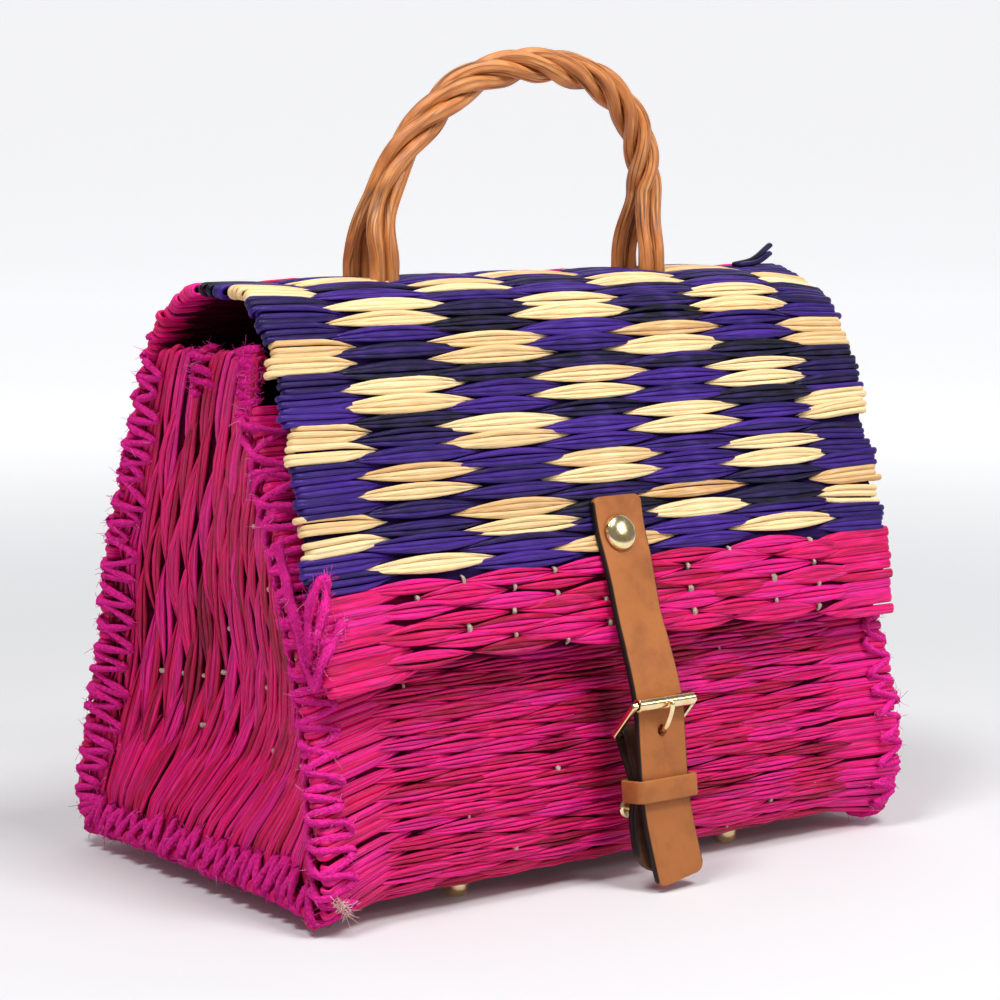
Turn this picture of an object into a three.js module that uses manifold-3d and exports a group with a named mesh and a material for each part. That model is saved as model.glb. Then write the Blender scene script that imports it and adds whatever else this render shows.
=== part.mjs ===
// A satchel of woven rush. One long mat makes the front wall, base, back wall, roof and flap, two more
// mats close the ends, a twisted wicker handle stands on the roof, and a leather strap with a roller
// buckle holds the flap down. Millimetres, +Z up, length along X, front towards -Y, feet on z = 0.

import * as THREE from 'three';
import Module from 'manifold-3d';
import { mergeVertices } from 'three/addons/utils/BufferGeometryUtils.js';

const wasm = await Module();
wasm.setup();

// Gap left between pieces that touch on the real bag
const CLEARANCE = 0.3;

// Woven mat
const BAG_LENGTH = 300;
const BAG_DEPTH = 184;
const BAG_HEIGHT = 236;
const MAT_WALL = 5;
const END_FLARE = 8;
const END_FLARE_REACH = 46;
const SELVEDGE_ROUNDING = 1.6;

// End panels
const PANEL_WALL = 5;
const PANEL_INSET = 2;
const PANEL_HEIGHT = 214;
const PANEL_FRONT_DROP = 14;
const PANEL_BACK_DROP = 4;
const PANEL_SEAM_GAP = 0.6;
const LEFT_DENT = 26;
const RIGHT_DENT = 20;

// Brass feet
const FOOT_HEIGHT = 8.5;
const FOOT_DIAMETER = 10.5;
const FOOT_INSET_X = 78;
const FOOT_INSET_Y = 19;

// Wicker handle
const HANDLE_SPAN = 146;
const HANDLE_RISE = 93;
const HANDLE_SETBACK = 17.5;
const STRAND_DIAMETER = 5.5;
const TWIST_RADIUS = 4.5;
const TWIST_TURNS = 2.5;
const TWIST_GATHER = 1.25;
const LEG_SPREAD = 19;
const LEG_LENGTH = 34;
const STRAND_HOLE_EASE = 0.5;
const TURNED_END = 14;
const TURN_RADIUS = 4;

// Leather strap, the tab behind it and the keeper round both
const STRAP_WIDTH = 25;
const STRAP_THICKNESS = 3;
const STRAP_ABOVE_SNAP = 15;
const STRAP_CORNER = 4;
const STRAP_HOLE_DIAMETER = 4.8;
const STRAP_HOLE_SPACING = 21.5;
const TAIL_LEVEL = -4;
const TAIL_LEAN = 8.5;
const TAIL_DRIFT = 5.5;
const TAB_PLY = 2.2;
const TAB_SLOT = 5;
const TAB_BOTTOM = -1;
const TAB_CORNER = 11;
const KEEPER_LEVEL = 33;
const KEEPER_HEIGHT = 9;
const KEEPER_THICKNESS = 2;
const KEEPER_EASE = 1.1;
const STRAP_SECTION_STEP = 6;
const TAB_SECTION_STEP = 7;

// Brass buckle, snap and rivet
const ROLLER_LEVEL = 68.5;
const ROLLER_DIAMETER = 5.4;
const ROLLER_BORE = 3.9;
const ROLLER_SIDE_PLAY = 2;
const BUCKLE_STAND_OFF = 13;
const FRAME_BAR = 2.2;
const FRAME_REACH = 19;
const FRAME_TILT = 42;
const PRONG_DIAMETER = 2.4;
const SNAP_DIAMETER = 15;
const SNAP_DOME = 3;
const SNAP_ABOVE_HEM = 45;
const SNAP_OFFSET = -2;
const RIVET_DIAMETER = 9;
const RIVET_LEVEL = 21;
const RIVET_HEAD = 1;
const POST_DIAMETER = 3.5;
const WASHER_DIAMETER = 12;
const WASHER_THICKNESS = 1;

// Colour, roughness and metalness of each finish
const finishes = {
  pinkRush: { color: 0xc4186c, roughness: 0.6, metalness: 0 },
  purpleRush: { color: 0x3a1a78, roughness: 0.55, metalness: 0 },
  wicker: { color: 0xb8642c, roughness: 0.55, metalness: 0 },
  leather: { color: 0xa9683c, roughness: 0.6, metalness: 0 },
  brass: { color: 0xe0c070, roughness: 0.25, metalness: 1 },
};

// The mat's outer face at mid length, from the front wall's top edge round to the flap's hem.
// y: share of the depth, towards the back; z: share of the height above the base;
// left, right: how far each end flares out there, as a share of END_FLARE.
const matRows = [
  { at: 'front top', y: -0.272, z: 0.805, left: 0, right: 0 },
  { at: 'front', y: -0.337, z: 0.66, left: 0, right: 0 },
  { at: 'front', y: -0.395, z: 0.53, left: 0, right: 0 },
  { at: 'front', y: -0.44, z: 0.4, left: 0, right: 0.1 },
  { at: 'front', y: -0.475, z: 0.29, left: 0, right: 0.4 },
  { at: 'front', y: -0.5, z: 0.18, left: -0.1, right: 0.9 },
  { at: 'front bulge', y: -0.513, z: 0.09, left: 0.2, right: 0.7 },
  { at: 'front', y: -0.502, z: 0.035, left: 0.9, right: 0.6 },
  { at: 'front corner', y: -0.477, z: 0.006, left: 1, right: 0.7 },
  { at: 'base', y: -0.448, z: 0, left: 0.4, right: 0.3 },
  { at: 'base', y: -0.426, z: 0, left: 0.2, right: 0.1 },
  { at: 'base', y: 0, z: 0, left: 0, right: 0 },
  { at: 'base', y: 0.426, z: 0, left: 0.1, right: 0.1 },
  { at: 'base', y: 0.448, z: 0, left: 0.2, right: 0.2 },
  { at: 'back corner', y: 0.476, z: 0.012, left: 0.4, right: 0.4 },
  { at: 'back', y: 0.495, z: 0.06, left: 0.3, right: 0.3 },
  { at: 'back', y: 0.484, z: 0.148, left: 0, right: 0 },
  { at: 'back', y: 0.451, z: 0.235, left: 0, right: 0 },
  { at: 'back', y: 0.4, z: 0.36, left: 0, right: 0 },
  { at: 'back', y: 0.356, z: 0.517, left: 0.2, right: 0.2 },
  { at: 'back', y: 0.293, z: 0.648, left: 0.1, right: 0.1 },
  { at: 'back', y: 0.234, z: 0.767, left: 0, right: 0 },
  { at: 'back shoulder', y: 0.18, z: 0.869, left: 0, right: 0 },
  { at: 'back shoulder', y: 0.122, z: 0.934, left: 0, right: 0 },
  { at: 'roof back', y: 0.022, z: 0.989, left: -0.1, right: 0 },
  { at: 'roof', y: -0.065, z: 1, left: 0, right: 0 },
  { at: 'roof', y: -0.15, z: 0.998, left: 0, right: -0.3 },
  { at: 'roof front', y: -0.225, z: 0.99, left: 0.3, right: -0.9 },
  { at: 'flap bend', y: -0.285, z: 0.967, left: 0.2, right: -0.8 },
  { at: 'flap bend', y: -0.328, z: 0.918, left: 0, right: -0.5 },
  { at: 'flap', y: -0.362, z: 0.855, left: 0, right: -0.3 },
  { at: 'flap', y: -0.396, z: 0.78, left: 0.3, right: 0.1 },
  { at: 'flap', y: -0.424, z: 0.706, left: 0.2, right: 0 },
  { at: 'flap', y: -0.448, z: 0.631, left: 0, right: 0 },
  { at: 'flap', y: -0.47, z: 0.568, left: -0.3, right: -0.1 },
  { at: 'hem top', y: -0.492, z: 0.519, left: -0.1, right: 0 },
  { at: 'hem', y: -0.511, z: 0.458, left: 0.2, right: -0.1 },
  { at: 'hem', y: -0.524, z: 0.411, left: 0.3, right: -0.3 },
  { at: 'hem bottom', y: -0.533, z: 0.373, left: 0.4, right: -0.5 },
];

// Sections along the mat, as shares of half its length, closer together where the ends flare
const lengthShares = [0, 0.66, 0.8, 0.92];

// How deep an end panel is pushed in. height: share of the panel's height; depth: share of the dent.
const dentRows = [
  { height: 0, depth: 0 },
  { height: 0.05, depth: 0.22 },
  { height: 0.12, depth: 0.62 },
  { height: 0.19, depth: 0.92 },
  { height: 0.27, depth: 1 },
  { height: 0.37, depth: 0.86 },
  { height: 0.5, depth: 0.56 },
  { height: 0.66, depth: 0.3 },
  { height: 0.84, depth: 0.12 },
  { height: 1, depth: 0.04 },
];

// Handle centre line from the left foot to the right. x: share of the span; z: share of the rise.
const handleRows = [
  { x: -0.5, z: 0 },
  { x: -0.493, z: 0.17 },
  { x: -0.462, z: 0.35 },
  { x: -0.402, z: 0.53 },
  { x: -0.3, z: 0.7 },
  { x: -0.16, z: 0.855 },
  { x: 0.013, z: 0.925 },
  { x: 0.175, z: 0.92 },
  { x: 0.325, z: 0.85 },
  { x: 0.43, z: 0.7 },
  { x: 0.477, z: 0.52 },
  { x: 0.485, z: 0.34 },
  { x: 0.47, z: 0.16 },
  { x: 0.464, z: 0 },
];

// The strap above the buckle. up: share of the way from the hem's lower edge to the strap's top;
// off: how far its back stands off the mat, as a share of its width; twist in degrees.
const strapRows = [
  { up: 1, off: 0.035, twist: -2 },
  { up: 0.87, off: 0.02, twist: -1 },
  { up: 0.75, off: 0.014, twist: 0 },
  { up: 0.6, off: 0.03, twist: 1 },
  { up: 0.42, off: 0.06, twist: 4 },
  { up: 0.2, off: 0.11, twist: 5 },
  { up: 0, off: 0.22, twist: 3 },
];

const up = new THREE.Vector3(0, 0, 1);
const front = new THREE.Vector3(0, -1, 0);
const lengthwise = new THREE.Vector3(1, 0, 0);
const baseLevel = FOOT_HEIGHT;

// Merges a geometry's vertices, drops its flat triangles and turns its faces outwards
function closed(geometry) {
  const bare = geometry.clone();
  bare.deleteAttribute('normal');
  bare.deleteAttribute('uv');
  const merged = mergeVertices(bare, 1e-4);
  const positions = merged.attributes.position;
  const corner = [0, 1, 2].map(() => new THREE.Vector3());
  const kept = [];
  let volume = 0;
  for (let t = 0; t < merged.index.count; t += 3) {
    const face = [0, 1, 2].map((i) => merged.index.getX(t + i));
    if (new Set(face).size === 3) {
      kept.push(face);
      face.forEach((vertex, i) => corner[i].fromBufferAttribute(positions, vertex));
      volume += corner[0].dot(corner[1].cross(corner[2]));
    }
  }
  const outward = volume > 0 ? kept : kept.map((face) => [face[0], face[2], face[1]]);
  merged.setIndex(outward.flat());
  merged.computeVertexNormals();
  return merged;
}

function toManifold(geometry) {
  const merged = closed(geometry);
  return new wasm.Manifold(new wasm.Mesh({
    numProp: 3,
    vertProperties: new Float32Array(merged.attributes.position.array),
    triVerts: new Uint32Array(merged.index.array),
  }));
}

function fromManifold(solid) {
  const mesh = solid.getMesh();
  const geometry = new THREE.BufferGeometry();
  geometry.setAttribute('position', new THREE.BufferAttribute(mesh.vertProperties, 3));
  geometry.setIndex(new THREE.BufferAttribute(mesh.triVerts, 1));
  geometry.computeVertexNormals();
  return geometry;
}

function cut(geometry, tools) {
  let solid = toManifold(geometry);
  for (const tool of tools) {
    solid = solid.subtract(toManifold(tool));
  }
  return fromManifold(solid);
}

function join(geometries) {
  let solid = toManifold(geometries[0]);
  for (const geometry of geometries.slice(1)) {
    solid = solid.add(toManifold(geometry));
  }
  return fromManifold(solid);
}

// A closed solid through rings of points. The second half of a ring runs back beside the first half.
function loft(rings) {
  const count = rings[0].length;
  const positions = rings.flat().flatMap((point) => [point.x, point.y, point.z]);
  const triangles = [];
  for (let i = 0; i + 1 < rings.length; i += 1) {
    for (let j = 0; j < count; j += 1) {
      const a = i * count + j;
      const b = i * count + ((j + 1) % count);
      triangles.push(a, b, a + count, b, b + count, a + count);
    }
  }
  const lastRing = (rings.length - 1) * count;
  for (let j = 0; j + 1 < count / 2; j += 1) {
    const far = count - 1 - j;
    triangles.push(j, far, j + 1, j + 1, far, far - 1);
    triangles.push(lastRing + j, lastRing + j + 1, lastRing + far);
    triangles.push(lastRing + j + 1, lastRing + far - 1, lastRing + far);
  }
  const geometry = new THREE.BufferGeometry();
  geometry.setAttribute('position', new THREE.Float32BufferAttribute(positions, 3));
  geometry.setIndex(triangles);
  return closed(geometry);
}

// Turns a geometry's own +Y to a direction and moves it to a point
function placeAlong(geometry, point, direction) {
  const turn = new THREE.Quaternion().setFromUnitVectors(new THREE.Vector3(0, 1, 0), direction);
  return geometry.applyQuaternion(turn).translate(point.x, point.y, point.z);
}

// A turned piece; each profile row is a radius and a distance along the axis
function turned(profile, sides, point, direction) {
  const points = profile.map(([radius, along]) => new THREE.Vector2(radius, along));
  return closed(placeAlong(new THREE.LatheGeometry(points, sides), point, direction));
}

function drill(diameter, length, point, direction) {
  const radius = diameter / 2;
  return placeAlong(new THREE.CylinderGeometry(radius, radius, length, 12), point, direction);
}

// A path whose steps follow its listed points, so that tight bends get more of them
class ListedPath extends THREE.CatmullRomCurve3 {
  getUtoTmapping(share) {
    return share;
  }
}

function rod(points, diameter, sides) {
  const corners = Array.from({ length: sides }, (_, i) => {
    const angle = (2 * Math.PI * i) / sides;
    return new THREE.Vector2(Math.cos(angle), Math.sin(angle)).multiplyScalar(diameter / 2);
  });
  return closed(new THREE.ExtrudeGeometry(new THREE.Shape(corners), {
    steps: points.length - 1,
    extrudePath: new ListedPath(points),
  }));
}

function rowNumber(place) {
  return matRows.findIndex((row) => row.at === place);
}

const frontTop = rowNumber('front top');
const firstBase = rowNumber('base');
const backCorner = rowNumber('back corner');
const roofBack = rowNumber('roof back');
const flapBend = rowNumber('flap bend');
const hemTop = rowNumber('hem top');
const hemBottom = rowNumber('hem bottom');

const matCurve = new THREE.CatmullRomCurve3(
  matRows.map((row) => new THREE.Vector3(0, row.y * BAG_DEPTH, row.z * BAG_HEIGHT + baseLevel)),
);

// The mat's outer point, inner point and outward direction at a row number and a length
function matAt(row, x) {
  const last = matRows.length - 1;
  const point = matCurve.getPoint(row / last);
  const tangent = matCurve.getTangent(row / last);
  const outward = new THREE.Vector3(0, tangent.z, -tangent.y);
  const low = Math.min(Math.floor(row), last - 1);
  const end = x < 0 ? 'left' : 'right';
  const flare = THREE.MathUtils.lerp(matRows[low][end], matRows[low + 1][end], row - low);
  const fromStart = Math.abs(x) - BAG_LENGTH / 2 + END_FLARE_REACH;
  const nearEnd = THREE.MathUtils.smoothstep(fromStart, 0, 1.6 * END_FLARE_REACH);
  const outer = point.addScaledVector(outward, 1.35 * flare * END_FLARE * nearEnd).setX(x);
  return { outer, inner: outer.clone().addScaledVector(outward, -MAT_WALL), outward };
}

// The row number where the mat's outer face passes a height, between two rows
function rowAtHeight(height, firstRow, lastRow) {
  const rises = matAt(lastRow, 0).outer.z > matAt(firstRow, 0).outer.z;
  let low = firstRow;
  let high = lastRow;
  for (let i = 0; i < 40; i += 1) {
    const middle = (low + high) / 2;
    if (matAt(middle, 0).outer.z > height === rises) {
      high = middle;
    } else {
      low = middle;
    }
  }
  return low;
}

function matStations(firstRow, lastRow, stepsPerRow) {
  const count = (lastRow - firstRow) * stepsPerRow;
  return Array.from({ length: count + 1 }, (_, i) => firstRow + i / stepsPerRow);
}

// One stretch of the mat, cut back by half a clearance where it meets the next stretch
function matStretch(firstRow, lastRow, stepsPerRow) {
  const stations = matStations(firstRow, lastRow, stepsPerRow);
  const rowLength = (row) => matAt(row, 0).outer.distanceTo(matAt(row + 1, 0).outer);
  if (firstRow > frontTop) {
    stations[0] += CLEARANCE / 2 / rowLength(firstRow);
  }
  if (lastRow < hemBottom) {
    stations[stations.length - 1] -= CLEARANCE / 2 / rowLength(lastRow - 1);
  }
  const half = BAG_LENGTH / 2;
  const inside = [...lengthShares.map((share) => share * half), half - SELVEDGE_ROUNDING, half];
  const sections = [...inside.slice(1).reverse().map((x) => -x), ...inside];
  return loft(sections.map((x) => {
    const rounding = Math.abs(x) === half ? SELVEDGE_ROUNDING : 0;
    const along = stations.map((station) => matAt(station, x));
    const outer = along.map((at) => at.outer.addScaledVector(at.outward, -rounding));
    const inner = along.map((at) => at.inner.addScaledVector(at.outward, rounding));
    return [...outer, ...inner.reverse()];
  }));
}

// Where the inside of the front or back wall stands at a height, for an end panel that ends there
function wallInside(wall, height, x) {
  const stations = wall === 'front'
    ? matStations(frontTop, firstBase, 2).reverse()
    : matStations(backCorner - 1, roofBack, 2);
  const line = stations.map((station) => matAt(station, x).inner);
  let above = line.findIndex((point) => point.z > height);
  if (above < 1) {
    above = above === 0 ? 1 : line.length - 1;
  }
  const low = line[above - 1];
  const high = line[above];
  return THREE.MathUtils.mapLinear(height, low.z, high.z, low.y, high.y);
}

function dentAt(height) {
  const next = Math.max(dentRows.findIndex((row) => row.height >= height), 1);
  const low = dentRows[next - 1];
  const high = dentRows[next];
  return THREE.MathUtils.mapLinear(height, low.height, high.height, low.depth, high.depth);
}

// A mat across one end, seated between the walls along its edges and pushed in at its middle
function endPanel(end, dent) {
  const columns = 10;
  const topPeak = 0.65;
  const bottom = baseLevel + MAT_WALL + PANEL_SEAM_GAP;
  const face = (height, deep) => Array.from({ length: columns + 1 }, (_, i) => {
    const across = i / columns;
    const fall = across < topPeak
      ? PANEL_FRONT_DROP * ((topPeak - across) / topPeak) ** 2
      : PANEL_BACK_DROP * ((across - topPeak) / (1 - topPeak)) ** 2;
    const top = baseLevel + PANEL_HEIGHT - fall;
    const z = THREE.MathUtils.lerp(bottom, top, height);
    const edgeX = end * (BAG_LENGTH / 2 - PANEL_INSET - deep);
    const frontY = wallInside('front', z, edgeX) + PANEL_SEAM_GAP;
    const backY = wallInside('back', z, edgeX) - PANEL_SEAM_GAP;
    const push = dent * dentAt(height) * Math.sin(Math.PI * across) ** 0.8;
    return new THREE.Vector3(edgeX - end * push, THREE.MathUtils.lerp(frontY, backY, across), z);
  });
  return loft(dentRows.map((row) => [...face(row.height, 0), ...face(row.height, PANEL_WALL).reverse()]));
}

const footPlaces = [-1, 1].flatMap((xSide) => [-1, 1].map((ySide) => ({
  name: `foot_${ySide < 0 ? 'front' : 'back'}_${xSide < 0 ? 'left' : 'right'}`,
  point: new THREE.Vector3(
    xSide * (BAG_LENGTH / 2 - FOOT_INSET_X), ySide * (BAG_DEPTH / 2 - FOOT_INSET_Y), 0,
  ),
})));

// A domed foot whose post passes up through the base to a washer inside the bag
function foot(point) {
  const radius = FOOT_DIAMETER / 2;
  const shoulder = FOOT_HEIGHT - CLEARANCE;
  const washer = baseLevel + MAT_WALL + CLEARANCE;
  return turned([
    [0, 0],
    [radius * 0.62, 0],
    [radius * 0.9, radius * 0.3],
    [radius, radius * 0.75],
    [radius, shoulder],
    [POST_DIAMETER / 2, shoulder],
    [POST_DIAMETER / 2, washer],
    [WASHER_DIAMETER / 2, washer],
    [WASHER_DIAMETER / 2, washer + WASHER_THICKNESS],
    [0, washer + WASHER_THICKNESS],
  ], 12, point, up);
}

function postHole(point, direction) {
  return drill(POST_DIAMETER + 2 * CLEARANCE, 4 * MAT_WALL, point, direction);
}

// Handle. Four strands lie round one centre line; at each foot they part into a front and a back leg.

const roofLevel = baseLevel + BAG_HEIGHT;
const handleCurve = new THREE.CatmullRomCurve3(handleRows.map((row) => (
  new THREE.Vector3(row.x * HANDLE_SPAN, -HANDLE_SETBACK, roofLevel + row.z * HANDLE_RISE)
)));
const strandRadius = STRAND_DIAMETER / 2;

// Where a strand stands at a foot: its place, the way its end turns under the roof
function strandFoot(turn, foot) {
  const atStart = foot === 0;
  const centre = handleCurve.getPoint(foot);
  const outside = atStart ? -1 : 1;
  const sideways = outside * Math.sign(Math.cos(turn));
  const forwards = -Math.sign(Math.sin(turn));
  return {
    x: centre.x + sideways * (strandRadius + CLEARANCE),
    y: centre.y + (forwards * LEG_SPREAD) / 2,
    endTurn: sideways,
  };
}

function strandEnd(place) {
  const underRoof = roofLevel - MAT_WALL - 0.03 * BAG_HEIGHT / 2 - strandRadius;
  const points = [];
  const at = (x, z) => points.push(new THREE.Vector3(place.x + place.endTurn * x, place.y, z));
  at(TURNED_END, underRoof);
  at((TURNED_END + TURN_RADIUS) / 2, underRoof);
  for (let i = 0; i <= 3; i += 1) {
    const angle = (i / 3) * (Math.PI / 2);
    at(TURN_RADIUS * (1 - Math.sin(angle)), underRoof + TURN_RADIUS * (1 - Math.cos(angle)));
  }
  at(0, roofLevel + 2 * CLEARANCE);
  return points;
}

function strand(number) {
  const firstTurn = Math.PI / 4 + (number * Math.PI) / 2;
  const lastTurn = firstTurn + 2 * Math.PI * TWIST_TURNS;
  const feet = [strandFoot(firstTurn, 0), strandFoot(lastTurn, 1)];
  const length = handleCurve.getLength();
  const steps = 44;
  const middle = [];
  for (let i = 1; i < steps; i += 1) {
    const along = (i / steps) * length;
    const centre = handleCurve.getPointAt(i / steps);
    const tangent = handleCurve.getTangentAt(i / steps);
    const outward = new THREE.Vector3(-tangent.z, 0, tangent.x);
    const nearFoot = Math.min(along, length - along);
    const place = feet[along < length / 2 ? 0 : 1];
    const twistShare = THREE.MathUtils.clamp((along - LEG_LENGTH) / (length - 2 * LEG_LENGTH), 0, 1);
    const turn = firstTurn + 2 * Math.PI * TWIST_TURNS * twistShare ** TWIST_GATHER;
    const twisted = centre.clone()
      .addScaledVector(outward, TWIST_RADIUS * Math.cos(turn))
      .addScaledVector(front, TWIST_RADIUS * Math.sin(turn));
    const leg = new THREE.Vector3(place.x, place.y, twisted.z);
    const blend = THREE.MathUtils.smoothstep(nearFoot, 0.15 * LEG_LENGTH, LEG_LENGTH);
    middle.push(leg.lerp(twisted, blend));
  }
  return rod([...strandEnd(feet[0]), ...middle, ...strandEnd(feet[1]).reverse()], STRAND_DIAMETER, 7);
}

const strandNumbers = [0, 1, 2, 3];

function strandHoles() {
  return strandNumbers.flatMap((number) => {
    const firstTurn = Math.PI / 4 + (number * Math.PI) / 2;
    const lastTurn = firstTurn + 2 * Math.PI * TWIST_TURNS;
    return [strandFoot(firstTurn, 0), strandFoot(lastTurn, 1)].map((place) => drill(
      STRAND_DIAMETER + 2 * STRAND_HOLE_EASE,
      4 * MAT_WALL,
      new THREE.Vector3(place.x, place.y, roofLevel),
      up,
    ));
  });
}

// Buckle. The strap passes behind the roller and in front of the heel bar, and the frame leans back.

const hemEdge = matAt(hemBottom, 0).outer;
const strapHalf = STRAP_THICKNESS / 2;
const rollerRadius = ROLLER_DIAMETER / 2;
const rollerLength = STRAP_WIDTH + 2 * ROLLER_SIDE_PLAY;
const strapBehindRoller = hemEdge.y - BUCKLE_STAND_OFF - strapHalf;
const roller = new THREE.Vector3(
  0, strapBehindRoller - strapHalf - CLEARANCE - rollerRadius, baseLevel + ROLLER_LEVEL,
);
const frameTilt = THREE.MathUtils.degToRad(FRAME_TILT);
const heel = new THREE.Vector3(
  0, roller.y + FRAME_REACH * Math.sin(frameTilt), roller.z - FRAME_REACH * Math.cos(frameTilt),
);
const heelBore = (FRAME_BAR / 2) * Math.SQRT2 + CLEARANCE;

// Snap: a cap on the strap, its post through strap and flap, a washer inside the flap

const snapRow = rowAtHeight(hemEdge.z + SNAP_ABOVE_HEM, flapBend, hemTop);
const snapSeat = matAt(snapRow, SNAP_OFFSET);
const strapTop = hemEdge.z + SNAP_ABOVE_HEM + STRAP_ABOVE_SNAP;

function snapCap() {
  const radius = SNAP_DIAMETER / 2;
  const seat = 4 * CLEARANCE + STRAP_THICKNESS;
  const washer = -MAT_WALL - CLEARANCE;
  return turned([
    [0, washer - WASHER_THICKNESS],
    [WASHER_DIAMETER / 2, washer - WASHER_THICKNESS],
    [WASHER_DIAMETER / 2, washer],
    [POST_DIAMETER / 2, washer],
    [POST_DIAMETER / 2, seat],
    [radius * 0.96, seat],
    [radius, seat + SNAP_DOME * 0.35],
    [radius * 0.72, seat + SNAP_DOME * 0.78],
    [radius * 0.38, seat + SNAP_DOME * 0.96],
    [0, seat + SNAP_DOME],
  ], 18, snapSeat.outer, snapSeat.outward);
}

// Strap centre line: against the flap above the buckle, hanging in front of the tab below it

function strapTail(level) {
  const drop = (ROLLER_LEVEL - level) / (ROLLER_LEVEL - TAIL_LEVEL);
  const belowKeeper = Math.max((KEEPER_LEVEL - level) / (KEEPER_LEVEL - TAIL_LEVEL), 0);
  return new THREE.Vector3(
    TAIL_DRIFT * belowKeeper ** 1.5, strapBehindRoller - TAIL_LEAN * drop, baseLevel + level,
  );
}

const strapStations = [
  ...strapRows.map((row) => {
    const height = THREE.MathUtils.lerp(hemEdge.z, strapTop, row.up);
    const seat = matAt(rowAtHeight(height, flapBend, hemBottom), 0);
    const stand = row.off * STRAP_WIDTH + strapHalf;
    return { centre: seat.outer.addScaledVector(seat.outward, stand), twist: row.twist };
  }),
  ...[ROLLER_LEVEL, KEEPER_LEVEL + 2 * KEEPER_HEIGHT, KEEPER_LEVEL, RIVET_LEVEL, TAIL_LEVEL]
    .map((level) => ({ centre: strapTail(level), twist: 0 })),
];

// A strip of leather along stations, with chamfered edges and a rounded outline at each end
function leatherStrip(stations, thickness, corner, spacing) {
  const curve = new THREE.CatmullRomCurve3(stations.map((station) => station.centre));
  const total = curve.getLength();
  const count = Math.round(total / spacing);
  const ends = [0, 0.06, 0.25, 0.6, 1].flatMap((share) => [share * corner.first, total - share * corner.last]);
  const inside = Array.from({ length: count }, (_, i) => (i * total) / count)
    .filter((place) => place > 1.3 * corner.first && total - place > 1.3 * corner.last);
  const places = [...new Set([...ends, ...inside])].sort((a, b) => a - b);
  const inset = (radius, distance) => (
    distance < radius ? radius - Math.sqrt(radius ** 2 - (radius - distance) ** 2) : 0
  );
  return loft(places.map((place) => {
    const along = curve.getUtoTmapping(place / total);
    const centre = curve.getPoint(along);
    const tangent = curve.getTangent(along);
    const station = Math.min(along * (stations.length - 1), stations.length - 1.001);
    const low = Math.floor(station);
    const twist = THREE.MathUtils.lerp(stations[low].twist, stations[low + 1].twist, station - low);
    const across = lengthwise.clone().applyAxisAngle(up, THREE.MathUtils.degToRad(twist));
    across.addScaledVector(tangent, -across.dot(tangent)).normalize();
    const outward = new THREE.Vector3().crossVectors(across, tangent);
    const trim = inset(corner.first, place) + inset(corner.last, total - place);
    const halfWidth = Math.max(STRAP_WIDTH / 2 - trim, thickness / 2);
    const halfDeep = thickness / 2;
    const chamfer = 0.22 * thickness;
    const section = [
      [-halfWidth + chamfer, halfDeep],
      [halfWidth - chamfer, halfDeep],
      [halfWidth, halfDeep - chamfer],
      [halfWidth, chamfer - halfDeep],
      [halfWidth - chamfer, -halfDeep],
      [-halfWidth + chamfer, -halfDeep],
      [-halfWidth, chamfer - halfDeep],
      [-halfWidth, halfDeep - chamfer],
    ];
    return section.map(([sideways, deep]) => (
      centre.clone().addScaledVector(across, sideways).addScaledVector(outward, deep)
    ));
  }));
}

// The strap's lower hole is half hidden by the keeper; the prong is through the upper one
const prongLevel = heel.z - baseLevel + PRONG_DIAMETER;
const strapHoleLevels = [prongLevel, prongLevel - STRAP_HOLE_SPACING];

function strap() {
  const corner = { first: STRAP_CORNER, last: STRAP_CORNER };
  const holes = strapHoleLevels.map((level) => (
    drill(STRAP_HOLE_DIAMETER, 4 * STRAP_THICKNESS, strapTail(level), front)
  ));
  const snapHole = postHole(snapSeat.outer, snapSeat.outward);
  const strip = leatherStrip(strapStations, STRAP_THICKNESS, corner, STRAP_SECTION_STEP);
  return cut(strip, [...holes, snapHole]);
}

// Tab: one strip folded round the heel bar, its two plies together down to the rivet and below it

function tabCentre(level, gap) {
  const tail = strapTail(level);
  return new THREE.Vector3(0, tail.y + strapHalf + gap + TAB_PLY, tail.z);
}

const rivetGap = RIVET_HEAD + 6 * CLEARANCE;
const tabStations = [
  { centre: heel, twist: 0 },
  { centre: tabCentre(KEEPER_LEVEL, 2 * CLEARANCE), twist: 0 },
  { centre: tabCentre(RIVET_LEVEL, rivetGap), twist: 0 },
  { centre: tabCentre(TAB_BOTTOM, 3 * CLEARANCE), twist: 0 },
];

function acrossBar(radius, length) {
  return drill(2 * radius, length, heel, lengthwise);
}

function buckleTab() {
  const corner = { first: 0, last: TAB_CORNER };
  const plies = leatherStrip(tabStations, 2 * TAB_PLY, corner, TAB_SECTION_STEP);
  const fold = acrossBar(heelBore + TAB_PLY, STRAP_WIDTH);
  const slotHeight = 4 * (heelBore + TAB_PLY);
  const slot = new THREE.BoxGeometry(TAB_SLOT, slotHeight, slotHeight);
  slot.translate(0, heel.y, heel.z + 0.25 * slotHeight);
  const rivetHole = postHole(rivetSeat.outer.clone().setY(tabStations[2].centre.y), front);
  return cut(join([plies, fold]), [acrossBar(heelBore, 2 * STRAP_WIDTH), slot, rivetHole]);
}

// Rivet: washer inside the front wall, collar on its face, post out to a flat head on the tab

const rivetSeat = matAt(rowAtHeight(baseLevel + RIVET_LEVEL, frontTop, firstBase), 0);

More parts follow.
